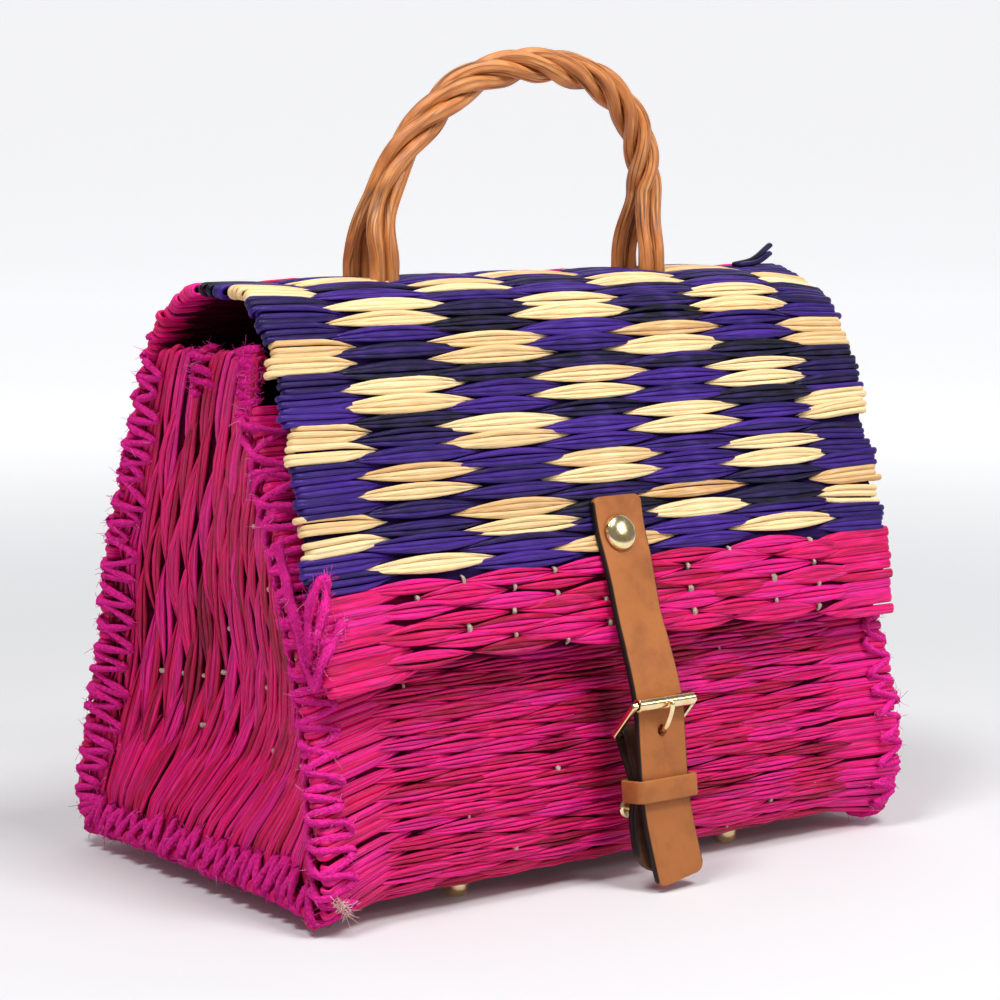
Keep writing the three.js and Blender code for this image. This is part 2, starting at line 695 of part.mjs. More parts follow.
function tabRivet() {
  const post = POST_DIAMETER / 2;
  const collar = RIVET_DIAMETER / 2;
  const washer = -MAT_WALL - 3 * CLEARANCE;
  const head = rivetSeat.outer.y - tabStations[2].centre.y + TAB_PLY + 3 * CLEARANCE;
  return turned([
    [0, washer - WASHER_THICKNESS],
    [WASHER_DIAMETER / 2, washer - WASHER_THICKNESS],
    [WASHER_DIAMETER / 2, washer],
    [post, washer],
    [post, CLEARANCE],
    [collar, CLEARANCE],
    [collar * 0.8, CLEARANCE + RIVET_HEAD],
    [post, CLEARANCE + RIVET_HEAD],
    [post, head],
    [collar * 0.8, head],
    [collar * 0.6, head + RIVET_HEAD],
    [0, head + RIVET_HEAD],
  ], 14, rivetSeat.outer, front);
}

function roundedRectangle(outline, halfX, low, high, corner) {
  outline.moveTo(-halfX + corner, low);
  outline.absarc(halfX - corner, low + corner, corner, -Math.PI / 2, 0, false);
  outline.absarc(halfX - corner, high - corner, corner, 0, Math.PI / 2, false);
  outline.absarc(-halfX + corner, high - corner, corner, Math.PI / 2, Math.PI, false);
  outline.absarc(-halfX + corner, low + corner, corner, Math.PI, 1.5 * Math.PI, false);
  return outline;
}

function buckleFrame() {
  const bar = FRAME_BAR / 2;
  const inside = rollerLength / 2 + CLEARANCE;
  const outline = roundedRectangle(
    new THREE.Shape(), inside + FRAME_BAR, -FRAME_REACH - bar, bar, FRAME_BAR,
  );
  outline.holes.push(roundedRectangle(new THREE.Path(), inside, -FRAME_REACH + bar, -bar, 0.1 * bar));
  const frame = new THREE.ExtrudeGeometry(outline, {
    depth: FRAME_BAR, bevelEnabled: false, curveSegments: 3,
  });
  frame.translate(0, 0, -bar).rotateX(Math.PI / 2 + frameTilt);
  return closed(frame.translate(roller.x, roller.y, roller.z));
}

function buckleRoller() {
  const bore = ROLLER_BORE / 2;
  return turned([
    [bore, 0],
    [rollerRadius, 0],
    [rollerRadius, rollerLength],
    [bore, rollerLength],
    [bore, 0],
  ], 14, roller.clone().setX(-rollerLength / 2), lengthwise);
}

// A ring round the heel bar and a tongue through the strap that lies on the roller
function buckleProng() {
  const wire = PRONG_DIAMETER / 2;
  const ring = turned([
    [heelBore, -wire],
    [heelBore + 0.8 * PRONG_DIAMETER, -wire],
    [heelBore + 0.8 * PRONG_DIAMETER, wire],
    [heelBore, wire],
    [heelBore, -wire],
  ], 14, heel, lengthwise);
  const hole = strapTail(prongLevel);
  const lying = roller.y - rollerRadius - CLEARANCE - wire;
  const route = new THREE.CatmullRomCurve3([
    new THREE.Vector3(0, heel.y - heelBore - 0.3 * wire, heel.z + 0.3 * wire),
    new THREE.Vector3(0, hole.y + STRAP_THICKNESS, hole.z - 0.45 * wire),
    new THREE.Vector3(0, hole.y, hole.z),
    new THREE.Vector3(0, hole.y - STRAP_THICKNESS, hole.z + 0.8 * wire),
    new THREE.Vector3(0, lying - 0.1 * wire, roller.z - 0.7 * rollerRadius),
    new THREE.Vector3(0, lying - 0.1 * wire, roller.z + 0.5 * rollerRadius),
  ]);
  return join([ring, rod(route.getPoints(14), PRONG_DIAMETER, 8)]);
}

// A band of leather round the strap and the tab
function keeper() {
  const lean = Math.atan2(TAIL_LEAN, ROLLER_LEVEL - TAIL_LEVEL);
  const strapFront = strapTail(KEEPER_LEVEL).y - strapHalf;
  const tabBack = tabStations[1].centre.y + TAB_PLY;
  const middle = (strapFront + tabBack) / 2;
  const halfDeep = (tabBack - strapFront) / 2 + KEEPER_EASE;
  const halfWide = STRAP_WIDTH / 2 + KEEPER_EASE;
  const outline = roundedRectangle(
    new THREE.Shape(), halfWide + KEEPER_THICKNESS,
    -halfDeep - KEEPER_THICKNESS, halfDeep + KEEPER_THICKNESS, 1.5 * KEEPER_THICKNESS,
  );
  outline.holes.push(
    roundedRectangle(new THREE.Path(), halfWide, -halfDeep, halfDeep, 0.5 * KEEPER_THICKNESS),
  );
  const band = new THREE.ExtrudeGeometry(outline, {
    depth: KEEPER_HEIGHT, bevelEnabled: false, curveSegments: 3,
  });
  band.translate(0, 0, -KEEPER_HEIGHT / 2).rotateX(-lean);
  return closed(band.translate(0, middle, baseLevel + KEEPER_LEVEL));
}

function piece(name, geometry, finish) {
  const mesh = new THREE.Mesh(geometry, new THREE.MeshStandardMaterial(finishes[finish]));
  mesh.name = name;
  return mesh;
}

const footHoles = footPlaces.map((place) => postHole(place.point.clone().setZ(baseLevel), up));
const body = cut(matStretch(frontTop, roofBack, 2), [...footHoles, postHole(rivetSeat.outer, front)]);
const flap = cut(
  matStretch(roofBack, hemTop, 2),
  [...strandHoles(), postHole(snapSeat.outer, snapSeat.outward)],
);

const bag = new THREE.Group();
bag.add(piece('body_mat', body, 'pinkRush'));
bag.add(piece('flap_mat', flap, 'purpleRush'));
bag.add(piece('flap_hem', matStretch(hemTop, hemBottom, 2), 'pinkRush'));
bag.add(piece('end_panel_left', endPanel(-1, LEFT_DENT), 'pinkRush'));
bag.add(piece('end_panel_right', endPanel(1, RIGHT_DENT), 'pinkRush'));
for (const number of strandNumbers) {
  bag.add(piece(`handle_strand_${number + 1}`, strand(number), 'wicker'));
}
bag.add(piece('strap', strap(), 'leather'));
bag.add(piece('buckle_tab', buckleTab(), 'leather'));
bag.add(piece('keeper', keeper(), 'leather'));
bag.add(piece('buckle_frame', buckleFrame(), 'brass'));
bag.add(piece('buckle_roller', buckleRoller(), 'brass'));
bag.add(piece('buckle_prong', buckleProng(), 'brass'));
bag.add(piece('snap_cap', snapCap(), 'brass'));
bag.add(piece('tab_rivet', tabRivet(), 'brass'));
for (const place of footPlaces) {
  bag.add(piece(place.name, foot(place.point), 'brass'));
}

// The origin lies under the middle of the whole bag, strap and handle included
const bounds = new THREE.Box3().setFromObject(bag);
const middle = bounds.getCenter(new THREE.Vector3());
const placed = new THREE.Group();
placed.position.set(-middle.x, -middle.y, -bounds.min.z);
placed.add(bag);

export default placed;
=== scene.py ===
import math

import bmesh
import bpy
import numpy as np
from mathutils import Matrix, Vector


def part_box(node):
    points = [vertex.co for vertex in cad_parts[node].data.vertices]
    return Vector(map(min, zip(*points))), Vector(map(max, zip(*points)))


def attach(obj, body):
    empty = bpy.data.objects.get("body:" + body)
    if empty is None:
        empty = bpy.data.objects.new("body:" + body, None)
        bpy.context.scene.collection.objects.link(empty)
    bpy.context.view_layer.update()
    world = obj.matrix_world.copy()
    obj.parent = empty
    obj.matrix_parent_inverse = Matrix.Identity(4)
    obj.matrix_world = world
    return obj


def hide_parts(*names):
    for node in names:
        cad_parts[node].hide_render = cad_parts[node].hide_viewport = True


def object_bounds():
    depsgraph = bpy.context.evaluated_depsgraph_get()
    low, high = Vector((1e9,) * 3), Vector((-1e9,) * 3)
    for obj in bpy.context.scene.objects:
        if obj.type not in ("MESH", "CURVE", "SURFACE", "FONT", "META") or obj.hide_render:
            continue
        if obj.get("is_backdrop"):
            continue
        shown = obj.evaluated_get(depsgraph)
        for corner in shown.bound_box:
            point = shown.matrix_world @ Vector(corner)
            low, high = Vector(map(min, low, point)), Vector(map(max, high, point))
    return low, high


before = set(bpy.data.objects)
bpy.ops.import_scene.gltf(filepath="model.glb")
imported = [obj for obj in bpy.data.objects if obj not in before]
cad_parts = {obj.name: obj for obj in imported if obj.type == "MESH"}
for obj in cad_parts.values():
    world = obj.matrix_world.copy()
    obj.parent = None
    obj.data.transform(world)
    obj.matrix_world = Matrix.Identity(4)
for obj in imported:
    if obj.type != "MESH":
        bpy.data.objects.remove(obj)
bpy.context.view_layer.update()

# Body mat. One sheet of magenta dyed rush: bundles of split stalk lie along the bag, bound by sisal
# twine that runs round it, and the sheet is folded up into front wall, base, back wall and shoulder.
# At each end the bundles turn back into the mat, which makes its looped selvedges.

MM = 0.001
MAT_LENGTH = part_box("body_mat")[1].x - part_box("body_mat")[0].x
MAT_DEPTH = 184 * MM
MAT_HEIGHT = 236 * MM
MAT_WALL = 5 * MM
END_FLARE = 10.8 * MM
END_FLARE_REACH = 46 * MM
FOOT_HEIGHT = 8.5 * MM
BODY_PITCH = 3.2 * MM
WARP_PITCH = MAT_LENGTH / 13
STALK_DEPTH = 1.9 * MM
CORE_THICKNESS = 2.3 * MM
CORE_LIFT = -2.1 * MM
mat_middle_y = (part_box("foot_front_left")[0].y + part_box("foot_back_left")[1].y) / 2
half_length = MAT_LENGTH / 2
chance = np.random.default_rng(41)

# Outer face at mid length, from the front wall's top round to the flap's hem: y and z as shares of the
# depth and height, then how far the left and right ends flare out there
MAT_ROWS = [
    ("front top", -0.272, 0.805, 0, 0), ("front", -0.337, 0.66, 0, 0), ("front", -0.395, 0.53, 0, 0),
    ("front", -0.44, 0.4, 0, 0.1), ("front", -0.475, 0.29, 0, 0.4), ("front", -0.5, 0.18, -0.1, 0.9),
    ("front bulge", -0.513, 0.09, 0.2, 0.7), ("front", -0.502, 0.035, 0.9, 0.6),
    ("front corner", -0.477, 0.006, 1, 0.7), ("base", -0.448, 0, 0.4, 0.3), ("base", -0.426, 0, 0.2, 0.1),
    ("base", 0, 0, 0, 0), ("base", 0.426, 0, 0.1, 0.1), ("base", 0.448, 0, 0.2, 0.2),
    ("back corner", 0.476, 0.012, 0.4, 0.4), ("back", 0.495, 0.06, 0.3, 0.3), ("back", 0.484, 0.148, 0, 0),
    ("back", 0.451, 0.235, 0, 0), ("back", 0.4, 0.36, 0, 0), ("back", 0.356, 0.517, 0.2, 0.2),
    ("back", 0.293, 0.648, 0.1, 0.1), ("back", 0.234, 0.767, 0, 0), ("back shoulder", 0.18, 0.869, 0, 0),
    ("back shoulder", 0.122, 0.934, 0, 0), ("roof back", 0.022, 0.989, -0.1, 0), ("roof", -0.065, 1, 0, 0),
    ("roof", -0.15, 0.998, 0, -0.3), ("roof front", -0.225, 0.99, 0.3, -0.9),
    ("flap bend", -0.285, 0.967, 0.2, -0.8), ("flap bend", -0.328, 0.918, 0, -0.5),
    ("flap", -0.362, 0.855, 0, -0.3), ("flap", -0.396, 0.78, 0.3, 0.1), ("flap", -0.424, 0.706, 0.2, 0),
    ("flap", -0.448, 0.631, 0, 0), ("flap", -0.47, 0.568, -0.3, -0.1), ("hem top", -0.492, 0.519, -0.1, 0),
    ("hem", -0.511, 0.458, 0.2, -0.1), ("hem", -0.524, 0.411, 0.3, -0.3),
    ("hem bottom", -0.533, 0.373, 0.4, -0.5),
]


def curve_through(points, steps):
    """A centripetal Catmull-Rom curve, with this many steps from each point to the next."""
    points = np.asarray(points, float)
    chain = np.vstack([2 * points[0] - points[1], points, 2 * points[-1] - points[-2]])
    t = np.linspace(0, 1, steps, endpoint=False)[:, None]
    pieces = []
    for before, start, end, after in zip(chain, chain[1:], chain[2:], chain[3:]):
        first = np.linalg.norm(start - before) ** 0.5
        middle = np.linalg.norm(end - start) ** 0.5
        last = np.linalg.norm(after - end) ** 0.5
        leave = end - start + middle * ((start - before) / first - (end - before) / (first + middle))
        arrive = end - start + middle * ((after - end) / last - (after - start) / (middle + last))
        bend = 3 * (end - start) - 2 * leave - arrive
        turn = leave + arrive - 2 * (end - start)
        pieces.append(start + leave * t + bend * t**2 + turn * t**3)
    return np.vstack([*pieces, points[-1:]])


def distance_along(route):
    steps = np.linalg.norm(np.diff(route, axis=0), axis=1)
    return np.concatenate([[0], np.cumsum(steps)])


def unit(vectors):
    return vectors / np.linalg.norm(vectors, axis=-1, keepdims=True)


def smooth_step(t):
    t = np.clip(t, 0, 1)
    return t * t * (3 - 2 * t)


CURVE_STEPS = 80
mat_line = curve_through(
    [(mat_middle_y + y * MAT_DEPTH, FOOT_HEIGHT + z * MAT_HEIGHT) for _, y, z, _, _ in MAT_ROWS], CURVE_STEPS
)
mat_run = distance_along(mat_line)
mat_way = unit(np.gradient(mat_line, axis=0))
row_numbers = np.linspace(0, len(MAT_ROWS) - 1, len(mat_line))
flares = [np.interp(row_numbers, range(len(MAT_ROWS)), [row[side] for row in MAT_ROWS]) for side in (3, 4)]


def run_at(place):
    """Distance along the mat to the first row with this name."""
    return mat_run[[row[0] for row in MAT_ROWS].index(place) * CURVE_STEPS]


def mat_sheet(run, x, lift):
    """A point over the mat: distance round it, length along the bag, height over its outer face."""
    run, x, lift = np.broadcast_arrays(run, x, lift)
    way_y, way_z = (np.interp(run, mat_run, mat_way[:, i]) for i in (0, 1))
    past = run - np.clip(run, 0, mat_run[-1])
    y = np.interp(run, mat_run, mat_line[:, 0]) + way_y * past
    z = np.interp(run, mat_run, mat_line[:, 1]) + way_z * past
    flare = np.where(x < 0, *(np.interp(run, mat_run, side) for side in flares))
    near_end = smooth_step((np.abs(x) - half_length + END_FLARE_REACH) / (1.6 * END_FLARE_REACH))
    lift = lift + flare * END_FLARE * near_end
    return np.stack([x, y + way_z * lift, z - way_y * lift], -1)


def tube_rings(route, across, half_width, half_depth, corners, facing=1):
    """Rings round routes; across is the way from one stalk to its neighbour, in the sheet."""
    along = unit(np.gradient(route, axis=-2))
    outward = facing * unit(np.cross(across, along))
    side = np.cross(outward, along)
    angles = np.arange(corners) * 2 * math.pi / corners - math.pi / 2
    wide = side[..., None, :] * (np.cos(angles)[:, None] * half_width[..., None, None])
    deep = outward[..., None, :] * (np.sin(angles)[:, None] * half_depth[..., None, None])
    return route[..., None, :] + wide + deep


def make_piece(name, mesh, sharp=None):
    """A smooth shaded object; edges past the angle, in degrees, stay sharp."""
    mesh.polygons.foreach_set("use_smooth", np.ones(len(mesh.polygons), bool))
    if sharp:
        mesh.set_sharp_from_angle(angle=math.radians(sharp))
    piece = bpy.data.objects.new(name, mesh)
    bpy.context.collection.objects.link(piece)
    return piece


def mesh_from(name, bm):
    """A mesh from a bmesh, which is freed."""
    mesh = bpy.data.meshes.new(name)
    bm.to_mesh(mesh)
    bm.free()
    return mesh


def tube_mesh(name, batches):
    """Joins closed tubes in one mesh. A batch is its rings, and a tone for each tube."""
    points, faces, tones, grains = [], [], [], []
    used = 0
    for rings, tone in batches:
        count, sections, corners, _ = rings.shape
        index = used + np.arange(count * sections * corners).reshape(count, sections, corners)
        here, there = index[:, :-1], index[:, 1:]
        sides = np.stack([here, np.roll(here, -1, 2), np.roll(there, -1, 2), there], -1)
        faces += sides.reshape(-1, 4).tolist() + index[:, 0, ::-1].tolist() + index[:, -1].tolist()
        along = np.linalg.norm(np.diff(rings.mean(2), axis=1), axis=2).cumsum(1)
        along = np.pad(along, ((0, 0), (1, 0)))[:, :, None] + 0 * rings[..., 0]
        girth = np.linalg.norm(rings - np.roll(rings, 1, 2), axis=3)
        girth[:, :, 0] = 0
        number = np.arange(count)[:, None, None] + 0 * along
        points.append(rings.reshape(-1, 3))
        grains.append(np.stack([along, girth.cumsum(2), number], -1).reshape(-1, 3))
        tones.append(np.repeat(np.asarray(tone, float), sections * corners))
        used += count * sections * corners
    mesh = bpy.data.meshes.new(name)
    mesh.from_pydata(np.vstack(points).tolist(), [], faces)
    mesh.attributes.new("tone", "FLOAT", "POINT").data.foreach_set("value", np.concatenate(tones))
    grain = mesh.attributes.new("grain", "FLOAT_VECTOR", "POINT")
    grain.data.foreach_set("vector", np.vstack(grains).ravel())
    return make_piece(name, mesh)


def float_rings(
    sheet, row, start, end, width, stalks, sections, corners, facing=1, taper=1.7, dive=2.1 * MM
):
    """Bundles of stalks that rise over the twine and dive under it at both tips.

    row, start, end and width hold a value for each bundle."""
    each = (len(row), stalks, 1)
    t = np.sin(np.linspace(-math.pi / 2, math.pi / 2, sections))
    full = 1 - 0.94 * np.abs(t) ** taper
    number = np.arange(stalks) - (stalks - 1) / 2
    pitch = (width / stalks)[:, None, None]
    shift = chance.normal(0, 0.09, each) * pitch
    slip = chance.normal(0, 0.9 * MM, each)
    rows = row[:, None, None] + (number[None, :, None] * pitch + shift) * full
    places = ((start + end) / 2)[:, None, None] + slip + ((end - start) / 2)[:, None, None] * t
    rise = 0.1 * MM - dive * np.abs(t) ** 2.3 + chance.normal(0, 0.2 * MM, each)
    rows, places, rise = (a.reshape(-1, sections) for a in np.broadcast_arrays(rows, places, rise))
    route = sheet(rows, places, rise)
    across = sheet(rows + 0.5 * MM, places, rise) - sheet(rows - 0.5 * MM, places, rise)
    grow = chance.normal(1, 0.1, each)
    half_width = (0.54 * pitch * grow * full).reshape(-1, sections)
    half_depth = (STALK_DEPTH / 2 * grow * full**0.6).reshape(-1, sections)
    return tube_rings(route, unit(across), half_width, half_depth, corners, facing)


def looped_rings(sheet, row, tip, edge, width, stalks, corners, facing=1, tail=15 * MM, slant=0):
    """Bundles that run from a tip to the sheet's edge and turn back round it to the inner face.

    slant is how far each has moved round the sheet by the time it reaches the edge."""
    count = len(row)
    each = (count, stalks, 1)
    way = np.sign(edge - tip)
    inner = -MAT_WALL + 0.75 * MM
    outer = -0.3 * MM
    radius = (outer - inner) / 2
    straight = np.linspace(0, 1, 7) ** 0.8
    bend = np.linspace(0, math.pi, 7)[1:]
    reach = abs(edge - tip) - radius
    out = np.concatenate([straight * reach, reach + radius * np.sin(bend), [reach - tail / 2, reach - tail]])
    under = outer - radius + radius * np.cos(bend)
    level = np.concatenate([outer - 2.2 * MM * (1 - straight) ** 3, under, [inner, inner]])
    full = 1 - 0.93 * np.clip(1 - out / (0.5 * reach), 0, 1) ** 1.8
    full[-3:] = [1, 0.8, 0.3]
    number = np.arange(stalks) - (stalks - 1) / 2
    pitch = (width / stalks)[:, None, None]
    shift = chance.normal(0, 0.1, each) * pitch
    sway = chance.normal(0, 0.35 * MM, (count, 1, 1)) * np.sin(out / reach * 2.2)
    sway = sway + np.broadcast_to(slant, count)[:, None, None] * np.clip(out / reach, 0, 1) ** 1.3
    rows = row[:, None, None] + (number[None, :, None] * pitch + shift) * full + sway
    places = tip + way * out + chance.normal(0, 0.8 * MM, each) + 0 * rows
    level = level + chance.normal(0, 0.16 * MM, each) + 0 * rows
    rows, places, level = (a.reshape(-1, len(out)) for a in (rows, places, level))
    route = sheet(rows, places, level)
    across = sheet(rows + 0.5 * MM, places, -MM) - sheet(rows - 0.5 * MM, places, -MM)
    half_width = (0.52 * pitch * full + 0 * shift).reshape(-1, len(out))
    half_depth = (STALK_DEPTH / 2 * full**0.6 + 0 * shift).reshape(-1, len(out))
    return tube_rings(route, unit(across), half_width, half_depth, corners, facing * way)


def bundle_tones(mean, spread, count, stalks, stalk_spread, lowest=0.05):
    """A tone for each stalk, near that of its bundle."""
    tones = np.repeat(np.clip(chance.normal(mean, spread, count), lowest, 1), stalks)
    return np.clip(tones + chance.normal(0, stalk_spread, len(tones)), 0, 1)


def core_sheet(name, sheet, rows, places, lift, thickness, pitch, facing=1):
    """The dark inside of a mat, which shows between its bundles and inside the bag; its darkness is painted
    shade.
    """
    bm = bmesh.new()
    bmesh.ops.create_grid(bm, x_segments=len(rows) - 1, y_segments=len(places) - 1, size=1)
    flat = np.array([vert.co for vert in bm.verts])
    row = np.interp(flat[:, 0], np.linspace(-1, 1, len(rows)), rows)
    place = np.interp(flat[:, 1], np.linspace(-1, 1, len(places)), places)
    ripple = 0.3 * MM * np.cos(2 * math.pi * row / pitch)
    for vert, point in zip(bm.verts, sheet(row, place, lift + ripple)):
        vert.co = point
    bm.normal_update()
    bmesh.ops.solidify(bm, geom=bm.faces[:], thickness=facing * thickness)
    bmesh.ops.recalc_face_normals(bm, faces=bm.faces[:])
    return make_piece(name, mesh_from(name, bm))


def add_node(tree, kind, inputs=None, **settings):
    """A node with its settings made and its inputs linked or set."""
    node = tree.nodes.new(kind)
    for name, value in settings.items():
        setattr(node, name, value)
    for key, value in (inputs or {}).items():
        if isinstance(value, bpy.types.NodeSocket):
            tree.links.new(value, node.inputs[key])
        else:
            node.inputs[key].default_value = value
    return node


def add_output(tree, kind, inputs=None, **settings):
    """The first output of such a node."""
    return add_node(tree, kind, inputs, **settings).outputs[0]


def colour_ramp(tree, factor, stops):
    ramp = add_node(tree, "ShaderNodeValToRGB", {"Fac": factor})
    for _ in stops[2:]:
        ramp.color_ramp.elements.new(0.5)
    for element, (place, colour) in zip(ramp.color_ramp.elements, stops):
        element.position = place
        element.color = (*colour, 1)
    return ramp.outputs["Color"]


def rescaled(tree, value, before, after):
    """A value moved from one range to another."""
    ends = {"From Min": before[0], "From Max": before[1], "To Min": after[0], "To Max": after[1]}
    return add_output(tree, "ShaderNodeMapRange", {"Value": value, **ends})


def multiplied(tree, first, second):
    return add_output(tree, "ShaderNodeVectorMath", {0: first, 1: second}, operation="MULTIPLY")


def stretched(tree, place, scale):
    return add_output(tree, "ShaderNodeMapping", {"Vector": place, "Scale": scale})


def noise(tree, place, scale, detail, roughness=0.5):
    inputs = {"Vector": place, "Scale": scale, "Detail": detail, "Roughness": roughness}
    return add_output(tree, "ShaderNodeTexNoise", inputs)


def new_material(name):
    material = bpy.data.materials.new(name)
    material.use_nodes = True
    return material, material.node_tree


def set_finish(tree, colour, roughness, height, strength, depth, gloss=0.5, under=None):
    """Gives a material its colour, roughness, relief and specular level; under is finer relief."""
    shader = tree.nodes["Principled BSDF"]
    relief = {"Height": height, "Strength": strength, "Distance": depth}
    if under is not None:
        relief["Normal"] = under
    tree.links.new(add_output(tree, "ShaderNodeBump", relief), shader.inputs["Normal"])
    tree.links.new(colour, shader.inputs["Base Color"])
    if isinstance(roughness, bpy.types.NodeSocket):
        tree.links.new(roughness, shader.inputs["Roughness"])
    else:
        shader.inputs["Roughness"].default_value = roughness
    shader.inputs["Specular IOR Level"].default_value = gloss


def stalk_grain_group():
    """Fine streaks and dull patches along a plant stalk, from its own lengthwise coordinates."""
    group = bpy.data.node_groups.new("stalk_grain", "ShaderNodeTree")
    for name, way in (("Along", "INPUT"), ("Across", "INPUT"), ("Streaks", "OUTPUT"), ("Patches", "OUTPUT")):
        group.interface.new_socket(name, in_out=way, socket_type="NodeSocketFloat")
    given = add_node(group, "NodeGroupInput").outputs
    grain = add_node(group, "ShaderNodeAttribute", attribute_name="grain").outputs["Vector"]
    scale = add_output(group, "ShaderNodeCombineXYZ", {0: given["Along"], 1: given["Across"], 2: 3.7})
    streaks = noise(group, multiplied(group, grain, scale), 1, 3)
    patches = noise(group, multiplied(group, grain, (70, 220, 5.3)), 1, 2)
    add_node(group, "NodeGroupOutput", {"Streaks": streaks, "Patches": patches})
    return group


stalk_grain = stalk_grain_group()


def stalk_inputs(tree, along, across):
    """A stalk's tone, and its streaks and patches at these scales."""
    tone = add_node(tree, "ShaderNodeAttribute", attribute_name="tone").outputs["Fac"]
    grain = add_node(tree, "ShaderNodeGroup", node_tree=stalk_grain)
    grain.inputs["Along"].default_value = along
    grain.inputs["Across"].default_value = across
    return tone, grain.outputs["Streaks"], grain.outputs["Patches"]


def rush_material(name, dyes, faded, fade_strength=0.5, roughness=(0.38, 0.6), streak=0.36):
    """Dyed or natural rush. dyes: colour stops along a stalk's tone; faded: the pale streaks' colour."""
    material, tree = new_material(name)
    tone, streaks, patches = stalk_inputs(tree, 45, 1500)
    pale = rescaled(tree, patches, (0.5, 0.8), (0, fade_strength))
    dye = colour_ramp(tree, tone, dyes)
    lit = add_output(tree, "ShaderNodeMixRGB", {"Fac": pale, "Color1": dye, "Color2": (*faded, 1)})
    shaded = multiplied(tree, lit, rescaled(tree, streaks, (0.3, 0.62), (streak, 1.17)))
    set_finish(tree, shaded, rescaled(tree, patches, (0.3, 0.7), roughness), streaks, 0.8, 0.4 * MM, 0.25)
    return material


def dress(piece, material, slot, *nodes):
    """Gives a piece its finish, lets it ride on the bag and hides the plain nodes it stands for."""
    piece.data.materials.clear()
    piece.data.materials.append(material)
    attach(piece, "root")
    if nodes:
        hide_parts(*nodes)


PINK_DYES = [
    (0.0, (0.24, 0.001, 0.022)),
    (0.25, (0.47, 0.001, 0.050)),
    (0.5, (0.69, 0.003, 0.104)),
    (0.75, (0.80, 0.004, 0.168)),
    (1.0, (0.80, 0.007, 0.25)),
]
pink_rush = rush_material("magenta_rush", PINK_DYES, (0.95, 0.05, 0.36), fade_strength=0.45)
warp_places = -half_length + WARP_PITCH * np.arange(2, 12)
colour_change_run = run_at("roof back") + 14 * MM


def plain_weave(rows, width, stalks, sections, corners, evenness):
    """Bundles over every other warp of the mat, stepped by one warp from row to row."""
    floats = [
        (row, warp)
        for number, row in enumerate(rows)
        for step, warp in enumerate(warp_places)
        if (number + step) % 2 == 0
    ]
    row, warp = np.array(floats).T
    count = len(row)
    reach = 1.05 * WARP_PITCH + chance.normal(0, 1.5 * MM, count)
    row = row + chance.normal(0, 0.3 * MM, count)
    widths = width * chance.normal(1, 0.14, count)
    rings = float_rings(mat_sheet, row, warp - reach, warp + reach, widths, stalks, sections, corners)
    return rings, bundle_tones(evenness, 0.24, count, stalks, 0.18)


def selvedges(rows, width, corners, tone, spread, slant, jitter=0):
    """The looped bundles at both ends of a mat's rows; those on the left slant."""
    batches = []
    for way in (-1, 1):
        widths = width * chance.normal(1, 0.12, len(rows))
        places = rows + chance.normal(0, jitter, len(rows)) if jitter else rows
        rings = looped_rings(
            mat_sheet, places, way * (half_length - 2 * WARP_PITCH + MM), way * half_length, widths, 2,
            corners, slant=slant if way < 0 else 0,
        )
        batches.append((rings, bundle_tones(tone, spread, len(rows), 2, 0.12)))
    return batches


body_rows = np.arange(MM, colour_change_run - 0.4 * BODY_PITCH, BODY_PITCH)
body_weave = tube_mesh("body_weave", [plain_weave(body_rows, 5.9 * MM, 3, 7, 5, 0.64)])
dress(body_weave, pink_rush, "pink_rush", "body_mat")

# The bundles at the left end droop more and more towards the base
edge_rows = body_rows[::2] + 0.5 * BODY_PITCH
edge_slant = 11 * MM * smooth_step(edge_rows / run_at("front corner")) * (edge_rows < run_at("base"))
body_selvedge = tube_mesh(
    "body_selvedge", selvedges(edge_rows, 6.6 * MM, 7, 0.8, 0.16, edge_slant, jitter=0.4 * MM)
)
dress(body_selvedge, pink_rush, "pink_rush", "body_mat")


def shade_core_material(name, colour, light):
    """Painted shade for the rush deep in a mat: a dull, dark and slightly ribbed colour."""
    material, tree = new_material(name)
    place = add_node(tree, "ShaderNodeTexCoord").outputs["Object"]
    streaks = noise(tree, stretched(tree, place, (40, 500, 500)), 1, 4)
    ribs = colour_ramp(tree, streaks, [(0.3, colour), (0.75, light)])
    set_finish(tree, ribs, 0.9, streaks, 0.8, 0.6 * MM, 0.05)
    return material


def core_rows(first, last):
    return np.linspace(first, last, int((last - first) / (0.85 * MM)) + 1)


EDGE_COVER = 3.2 * MM
core_places = np.concatenate([
    [-half_length + EDGE_COVER], np.linspace(-0.93, 0.93, 13) * half_length, [half_length - EDGE_COVER],
])
# The magenta core is painted shade: far darker than the magenta rush, it darkens the gaps between bundles and
# the bag's inside.
pink_shade_core = shade_core_material("magenta_shade_core", (0.02, 0.0004, 0.006), (0.15, 0.001, 0.035))
body_core = core_sheet(
    "body_core", mat_sheet, core_rows(0.5 * MM, colour_change_run), core_places, CORE_LIFT, CORE_THICKNESS,
    BODY_PITCH,
)
dress(body_core, pink_shade_core, "pink_rush", "body_mat")

# Flap. The same sheet goes on over the roof and down the front as a chequer of natural cream rush and
# violet dyed rush, each bundle passing over two warps, and its ends turn back as the body's do.
# Below it the flap ends in a deep plain hem of magenta rush, where the sisal warps show as dots.

